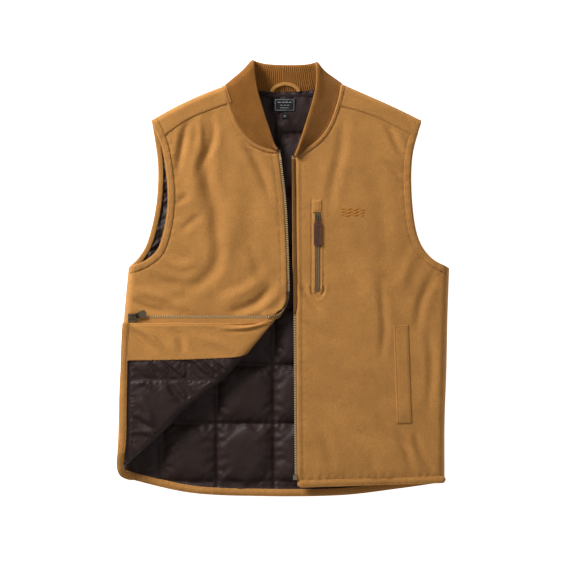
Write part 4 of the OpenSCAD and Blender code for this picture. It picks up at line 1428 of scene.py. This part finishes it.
tape_left, tape_right = beside(every(teeth_left, 8.0), 9.2), beside(every(teeth_right, 5.0), -9.2)
tape_strip("zip_tape_left_cloth", "zip_tape_left", at_height(tape_left, CHAIN_Z), 12.5)
tape_strip("zip_tape_right_cloth", "zip_tape_right", at_height(tape_right, CHAIN_Z), 12.5)
tape_strip("zip_tape_flap_cloth", "zip_tape_flap",
           at_height(straight(-269.5, FLAP_TEETH_Y - 8.6, -21, FLAP_TEETH_Y - 8.6, 42), FLAP_CHAIN_Z), 11.0,
           material=CANVAS_FACING, body="flap")

# Dark strips under the teeth, where the teeth grip the tape: their dark colour is painted shade between the
# teeth
for name, node, line, z, body in (
        ("zip_shade_strip_flap", "zip_tape_flap", straight(-269, -66.6, -25, -66.6, 60), FLAP_CHAIN_Z - 0.9, "flap"),
        ("zip_shade_strip_left", "zip_tape_left", straight(18.6, 210, 22.6, -339, 60), CHAIN_Z - 0.7, "vest"),
        ("zip_shade_strip_right", "zip_tape_right", every(beside(teeth_right, -2.6), 5.0), CHAIN_Z - 0.7, "vest")):
    tape_strip(name, node, at_height(line, z), 3.6, 1.0, DARK_THREAD_AND_SHADE, body)

# The tape turned over the teeth along the upper part of the left front; its dark brown is painted shade along
# that edge
line = every(np.array([[16, 208.5], [19, -62]]), 4.0)
down = (208.5 - line[:, 1]) / 270
reach = (3.3 + 3.6 * down) * np.sqrt(np.clip((1 - down) * 9, 0, 1)) + 0.4
rows = []
for k in np.linspace(0, 1, 9):
    z = CHAIN_Z + 1.7 + 0.9 * math.sin(math.pi * (0.12 + 0.6 * k))
    z = z + 0.12 * noise(line[:, 0], line[:, 1], 12, 61)
    rows.append(points(line[:, 0] - 0.7 + (reach + 0.7) * k, line[:, 1], z))
turned = np.array(rows)
if grid_normals(turned)[4, 20, 2] < 0:
    turned = turned[::-1]
turned = closed_sheet("zip_tape_left_turned", turned, 0.9)
piece(turned, TURNED_TAPE_PAINTED_SHADE, nodes=["zip_tape_left"])

# The zip where it rounds the fold's corner: its tape and the few teeth there
corner = every(smooth([[11, -21.5, 23.4], [10.6, -28, 23.8], [8.6, -38, 25.2], [4.7, -47.5, 28],
                       [-1.6, -56.3, 30.6], [-11, -62, 32.2], [-24, -64, 32.6]], 12), 3.0)
tangent = np.gradient(corner, axis=0)
tangent /= np.linalg.norm(tangent, axis=1)[:, None]
turn = ease(np.linspace(0, 1, len(corner)))[:, None]
inward = np.array([-1.0, 0.05, 0]) * (1 - turn) + np.array([0.0, -1.0, 0.0]) * turn
inward[:, 2] -= 0.9 * np.sin(math.pi * turn[:, 0])
inward -= tangent * np.sum(inward * tangent, axis=1)[:, None]
inward /= np.linalg.norm(inward, axis=1)[:, None]
places = [(p + i * 1.7, t, -i) for p, t, i in zip(corner[1:], tangent[1:], inward[1:])]
teeth = copies("zip_teeth_corner", rounded_block((1.5, 3.4, 2.8), 0.5, 1), places)
# The corner's teeth take the darker brass: painted shade
piece(teeth, TEETH_PAINTED_SHADE, None)
bead = swept("zip_tape_corner", corner + inward * 5.2, ring_profile(5.0, 1.1, 0.35, 16), sideways=inward)
piece(bead, TAPE, None)
for obj in (teeth, bead):
    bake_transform(obj)


def finish_node(names, material, bevel, segments):
    """CAD parts that are right as they are: rounded edges and a worn finish."""
    for name in names:
        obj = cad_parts[name]
        for slot in obj.material_slots:
            slot.material = material
        mod = obj.modifiers.new("edges", "BEVEL")
        mod.width = bevel * MM
        mod.segments = segments
        mod.limit_method = "ANGLE"
        mod.angle_limit = math.radians(35)
        mod.harden_normals = False


finish_node(["zip_teeth_left", "zip_teeth_right", "zip_teeth_flap"], TEETH, 0.3, 1)
# The chest zip's teeth take the darker brass: painted shade
finish_node(["chest_zip_teeth"], TEETH_PAINTED_SHADE, 0.15, 1)
finish_node(["zip_top_stops", "zip_retainer_box", "chest_zip_stop", "chest_slider", "chest_pull_link"],
            BRASS, 0.3, 2)
finish_node(["zip_slider"], BRASS, 0.5, 3)
finish_node(["zip_pull"], BRASS, 0.25, 2)
finish_node(["chest_pull_tab"], LEATHER, 0.4, 2)

pin_path = at_height(straight(-271.5, FLAP_TEETH_Y - 1.7, -269.4, FLAP_TEETH_Y - 1.7, 7), FLAP_CHAIN_Z)
pin = swept("zip_pin", pin_path, ring_profile(2.8, 2.0, 0.8, 16), taper=1.2)
piece(pin, BRASS, "flap", ["zip_insertion_pin"])

# The chest zip's tape, pocket bags, patches and hidden facings
chest_line = straight(CHEST_X, CHEST_Y0, CHEST_X, CHEST_Y1, 40)
tape_strip("chest_tape_cloth", "chest_zip_tape", at_height(chest_line, 23.3), 14.0, 1.0)


def bag(name, node, height):
    """A flat cloth pocket bag with a stitched edge; the right hand's ends short of the fold."""
    low, high = span(node)
    inset = 2.0
    v = np.linspace(low[1] + inset, high[1] - inset, 44)
    x, y = np.meshgrid(np.linspace(low[0] + inset, high[0] - inset, 26), v)
    if node == "hand_pocket_bag_right":
        end = np.minimum([crease_x(h) - 8 for h in v], high[0] - inset)[:, None]
        x = x[:, :1] + (x - x[:, :1]) * (end - x[:, :1]) / (x[0, -1] - x[0, 0])
    edge = np.minimum(np.minimum(x - low[0], high[0] - x), np.minimum(y - low[1], high[1] - y))
    half = 0.25 + 0.3 * (1 - bell(edge - 5, 2)) * ease(edge / 10)
    middle = np.minimum((low[2] + high[2]) / 2, height(x, y) - CLOTH_T - 1.6) + 0.1 * noise(x, y, 20, 4)
    obj = closed_sheet(name, points(x, y, middle + half), points(x, y, middle - half))
    piece(obj, LINING, nodes=[node])


def from_middle(width, height, cols, rows):
    """A grid of places about the middle of a rectangle, and how far each is from its edge."""
    a, b = np.meshgrid(np.linspace(-width / 2, width / 2, cols), np.linspace(-height / 2, height / 2, rows))
    return a, b, np.minimum(width / 2 - np.abs(a), height / 2 - np.abs(b))


def turned_by(centre, a, b, turn):
    """The x and y of a place that lies a, b from the centre of a turned rectangle."""
    c, s = math.cos(turn), math.sin(turn)
    return centre[0] + a * c - b * s, centre[1] + a * s + b * c


def patch(name, node, centre, size, turn, height, thick, seed, cols, rows):
    """A stitched-down patch of canvas lying on a front."""
    a, b, edge = from_middle(*size, cols, rows)
    x, y = turned_by(centre, a, b, turn)
    z = height(x, y) + 1.0 + 0.5 * (1 - bell(edge, 2.0)) - 0.5 * bell(edge - 2.0, 0.9)
    obj = closed_sheet(name, points(x, y, z + 0.15 * noise(x, y, 9, seed)), thick)
    piece(obj, CANVAS, nodes=[node])


WELT_TURN = math.radians(2)
WELT_PLACE, WELT_SIZE = (207.5, -166), (25, 170)
garage_mid = sum(span("chest_zip_garage")) / 2
patch("chest_garage", "chest_zip_garage", garage_mid, (15, 22), 0, z_left, 1.2, 31, 14, 20)
patch("welt_left", "hand_welt_left", WELT_PLACE, WELT_SIZE, WELT_TURN, z_left, 1.6, 32, 22, 90)
patch("welt_right", "hand_welt_right", (-200, -155), (25, 152), -WELT_TURN, z_right, 1.6, 33, 22, 90)
bag("bag_chest", "chest_pocket_bag", z_left)
bag("bag_hand_left", "hand_pocket_bag_left", z_left)
bag("bag_hand_right", "hand_pocket_bag_right", z_right)
strip_under("facing_left", teeth_left, 6, 76, 18.4, "front_left_facing")
strip_under("facing_right", teeth_right, -6, -76, 18.4, "front_right_facing")


# ---- Neck trim ----

QUILT = BVHTree.FromObject(quilt_back, bpy.context.evaluated_depsgraph_get())


def on_quilt(x, y):
    """The back lining's height under each point."""
    out = []
    for a, b in zip(np.ravel(x), np.ravel(y)):
        hit = QUILT.ray_cast(Vector((a * MM, b * MM, 0.1)), Vector((0, 0, -1)))[0]
        out.append(hit.z / MM if hit else BACK_TOP - 1)
    return np.reshape(out, np.shape(x))


LABEL_T, MARK_T = 0.7, 0.35


def label(name, node, width, height, cols, rows, marks):
    """A label lying just clear of the quilt, and its marks: each is (x, y, width, height) on it."""
    low, high = span(node)
    centre = (low + high) / 2
    a, b = np.meshgrid(np.linspace(low[0], high[0], cols), np.linspace(low[1], high[1], rows))
    top = float(on_quilt(a, b).max()) + 0.5
    a, b, edge = from_middle(width, height, 24, 16)
    x, y = centre[0] + a, centre[1] + b
    cloth = points(x, y, top + 0.35 * (1 - bell(edge, 1.0)) + 0.2 * noise(x, y, 14, 9))
    piece(closed_sheet(name, cloth, LABEL_T), LABEL, nodes=[node])
    bars = []
    for dx, dy, wide, tall in marks:
        verts, faces = rounded_block((wide, tall, MARK_T), min(tall, MARK_T) * 0.25, 1)
        middle = [centre[0] + dx, centre[1] + dy, top + 0.35 + MARK_T * 0.3]
        bars.append(new_object("bar", verts + middle, faces))
    return bars


# Generic woven marks: a border and plain bars in place of any lettering
marks = [(0, 9.2, 33, 0.7), (0, -9.2, 33, 0.7), (-16.2, 0, 0.7, 18), (16.2, 0, 0.7, 18), (-9.2, 4.6, 6, 1.5),
         (-2.2, 4.6, 5, 1.5), (4.2, 4.6, 5, 1.5), (10.2, 4.6, 4, 1.5), (-5.5, -0.6, 4.5, 1.1),
         (0.5, -0.6, 4.5, 1.1), (6.4, -0.6, 4, 1.1), (0, -5.2, 15, 0.8)]
bars = label("label_neck", "neck_label", 37, 23, 12, 8, marks)
bars += label("label_size", "size_tab", 12, 9, 6, 6, [(0, 0, 4.0, 1.0), (0, -2, 2.6, 0.7)])
piece(joined("label_marks", bars), LABEL_MARK, nodes=["neck_label"])

tape_line = every(smooth([[-62, 326], [-30, 323.5], [5, 322.5], [40, 323.6], [68, 326]]), 3.0)
tape_path = at_height(beside(tape_line, -3.4), 9.9)
neck_cloth = swept("neck_tape_cloth", tape_path, ring_profile(6.0, 1.5, 0.6, 16),
                   bump=lambda s, a, b: np.where(b > 0, 0.35 * np.sin(s / 1.3) * bell(a, 2.5), 0))
piece(neck_cloth, NECK_TAPE, nodes=["neck_tape"])

# Hanger loop: a folded strip of canvas that arches up from the neck seam
LOOP_X, LOOP_Y, LOOP_HALF, LOOP_RISE = 3.5, 328, 26, 16
t = np.linspace(0, math.pi, 60)
loop_path = np.stack([LOOP_X - (LOOP_HALF - 3) * np.sign(np.cos(t)) * np.abs(np.cos(t)) ** 1.25,
                      LOOP_Y - 1.5 + (LOOP_RISE - 2) * np.sin(t) ** 0.95, 10.2 + 0.9 * np.sin(t)], 1)
loop = swept("hanger_loop_cloth", loop_path, ring_profile(6.2, 1.9, 0.5, 20),
             bump=lambda s, a, b: np.where(b > 0, -0.3 * bell(np.abs(a) - 2.0, 0.5), 0))
piece(loop, CANVAS, "loop", ["hanger_loop"])


# ---- Embroidery and stitches ----


# Three plain wavy lines in place of the mark on the chest
emb_low, emb_high = span("chest_embroidery")
k = np.linspace(0, 1, 90)
x = emb_low[0] + 1 + (emb_high[0] - emb_low[0] - 2) * k
threads = []
for row in range(3):
    y = emb_high[1] - 3 - 5 * row + 1.5 * np.sin(k * 3 * 2 * math.pi)
    threads.append(swept("thread", points(x, y, z_left(x, y) + 0.3), ring_profile(1.8, 1.5, 0.9, 8)))
piece(joined("chest_waves", threads), EMBROIDERY, nodes=["chest_embroidery"])

STITCH = rounded_block((2.5, 0.75, 0.6), 0.22, 1)


def stitch_line(line, height, gap=3.6, lift=0.15):
    """Places for a row of stitches along a line on a surface."""
    line = every(line, gap)
    mid = (line[1:] + line[:-1]) / 2
    t = np.diff(line, axis=0)
    t /= np.linalg.norm(t, axis=1)[:, None]
    z = height(mid[:, 0], mid[:, 1]) + lift
    ahead = mid + t
    rise = height(ahead[:, 0], ahead[:, 1]) + lift - z
    return list(zip(at_height(mid, z), at_height(t, rise), points(-t[:, 1], t[:, 0], 0)))


def raised(height, lift):
    """The surface that lies that much above another."""
    return lambda x, y: height(x, y) + lift


def edge_stitches(side, armhole, neck, yoke_line, edge_height, z_yoke):
    """The stitches of one front's armhole, neck and yoke; side is 1 on the left and -1 on the right."""
    places = stitch_line(beside(armhole, -side * (BAND_W - 1.2)), raised(edge_height, 0.9))
    places += stitch_line(beside(armhole, -side * 3.0), raised(edge_height, 0.8))
    for d in (2.2, 5.2):
        places += stitch_line(beside(neck, side * d), raised(edge_height, 1.1))
    return places + stitch_line(beside(yoke_line, -side * 2.4), raised(z_yoke, 0.8))


places = stitch_line(within(zip_stitch_left, -345, 206), z_left)
places += stitch_line(beside(hem_left, HEM_W + 1.2), z_left)
places += stitch_line(chest_box, z_left)
w, l = WELT_SIZE[0] / 2 - 1.6, WELT_SIZE[1] / 2 - 1.6
corners = [turned_by(WELT_PLACE, a, b, WELT_TURN) for a, b in ((-w, l), (-w, -l), (w, -l), (w, l), (-w, l))]
for ends in zip(corners, corners[1:]):
    places += stitch_line(np.array(ends), raised(z_left, 1.1))
places += edge_stitches(1, armhole_left, neck_left, yoke_left, edge_height_left, z_yoke_left)
piece(copies("stitches_front_left", STITCH, places), THREAD)
places = stitch_line(within(zip_stitch_right, -24, 216), z_right)
places += edge_stitches(-1, armhole_right, neck_right, yoke_right, edge_height_right, z_yoke_right)
piece(copies("stitches_front_right", STITCH, places), THREAD)

# Two rows down the leather tab and one across it
tab_low, tab_high = span("chest_pull_tab")
tab_x, end_y = (tab_low[0] + tab_high[0]) / 2, tab_high[1] - 9.5
tab_stitch = rounded_block((1.9, 0.8, 0.5), 0.2, 1)


def z_tab(x, y):
    """The leather tab's flat top."""
    return np.full(np.shape(x), tab_high[2])


places = []
for x in (tab_x - 3.6, tab_x + 0.6):
    places += stitch_line(straight(x, tab_low[1] + 3, x, end_y - 2.5, 2), z_tab, 3.0, 0.0)
places += stitch_line(straight(tab_x - 5, end_y, tab_x + 5, end_y, 2), z_tab, 2.4, 0.0)
piece(copies("stitches_tab", tab_stitch, places), DARK_THREAD_AND_SHADE, "pocket_tab")


# ---- Sheets ----


def declare(obj, flat=None):
    """Works out the rectangle a cloth piece is cut from and the area of the cut, and keeps neither."""
    area = sum(p.area for p in obj.data.polygons) / 2
    if flat is None:
        d = obj.dimensions
        flat = (d.x + 0.02, d.y + 0.02)
    area = min(area, flat[0] * flat[1] * 0.999)


bpy.context.view_layer.update()
declare(canvas_left)
declare(canvas_right)
declare(canvas_back)
declare(canvas_flap)
declare(yoke_left_piece, (0.165, 0.175))
declare(yoke_right_piece, (0.165, 0.175))
declare(facing)


# ---- Floor, light and camera ----

FLOOR_HALF, FLOOR_Z = 20, -0.0012
floor_mesh = bpy.data.meshes.new("floor")
floor_corners = [(FLOOR_HALF * a, FLOOR_HALF * b, FLOOR_Z) for a, b in ((-1, -1), (1, -1), (1, 1), (-1, 1))]
floor_mesh.from_pydata(floor_corners, [], [(0, 1, 2, 3)])
floor = placed("floor", floor_mesh)
paper = bpy.data.materials.new("floor_paper")
paper.use_nodes = True
paper_inputs = paper.node_tree.nodes["Principled BSDF"].inputs
paper_inputs["Base Color"].default_value = (0.9, 0.9, 0.9, 1)
paper_inputs["Roughness"].default_value = 0.9
paper_inputs["Emission Color"].default_value = (1, 1, 1, 1)
paper_inputs["Emission Strength"].default_value = 0.9
floor.data.materials.append(paper)


def softbox(name, place, size, power):
    """A square light at a place in metres, turned towards the vest's middle."""
    light = bpy.data.lights.new(name, "AREA")
    light.shape = "RECTANGLE"
    light.size = light.size_y = size
    light.energy = power
    obj = placed(name, light)
    obj.location = place
    obj.rotation_euler = (-Vector(place)).to_track_quat("-Z", "Y").to_euler()


softbox("key", (-2.1, 1.9, 1.5), 1.1, 132)
softbox("fill", (1.2, -0.8, 2.8), 2.4, 9)
world = bpy.data.worlds.new("studio")
bpy.context.scene.world = world
world.use_nodes = True
world_inputs = world.node_tree.nodes["Background"].inputs
world_inputs["Color"].default_value = (1, 1, 1, 1)
world_inputs["Strength"].default_value = 0.2
bpy.context.scene.view_settings.view_transform = "Standard"
bpy.context.scene.view_settings.look = "None"

camera = bpy.data.cameras.new("camera")
camera.lens, camera.sensor_width = 85, 36
camera.clip_end = 20
view = placed("camera", camera)
view.location = (0.0031, -0.0108, 2.36)
bpy.context.scene.camera = view

bpy.context.view_layer.update()
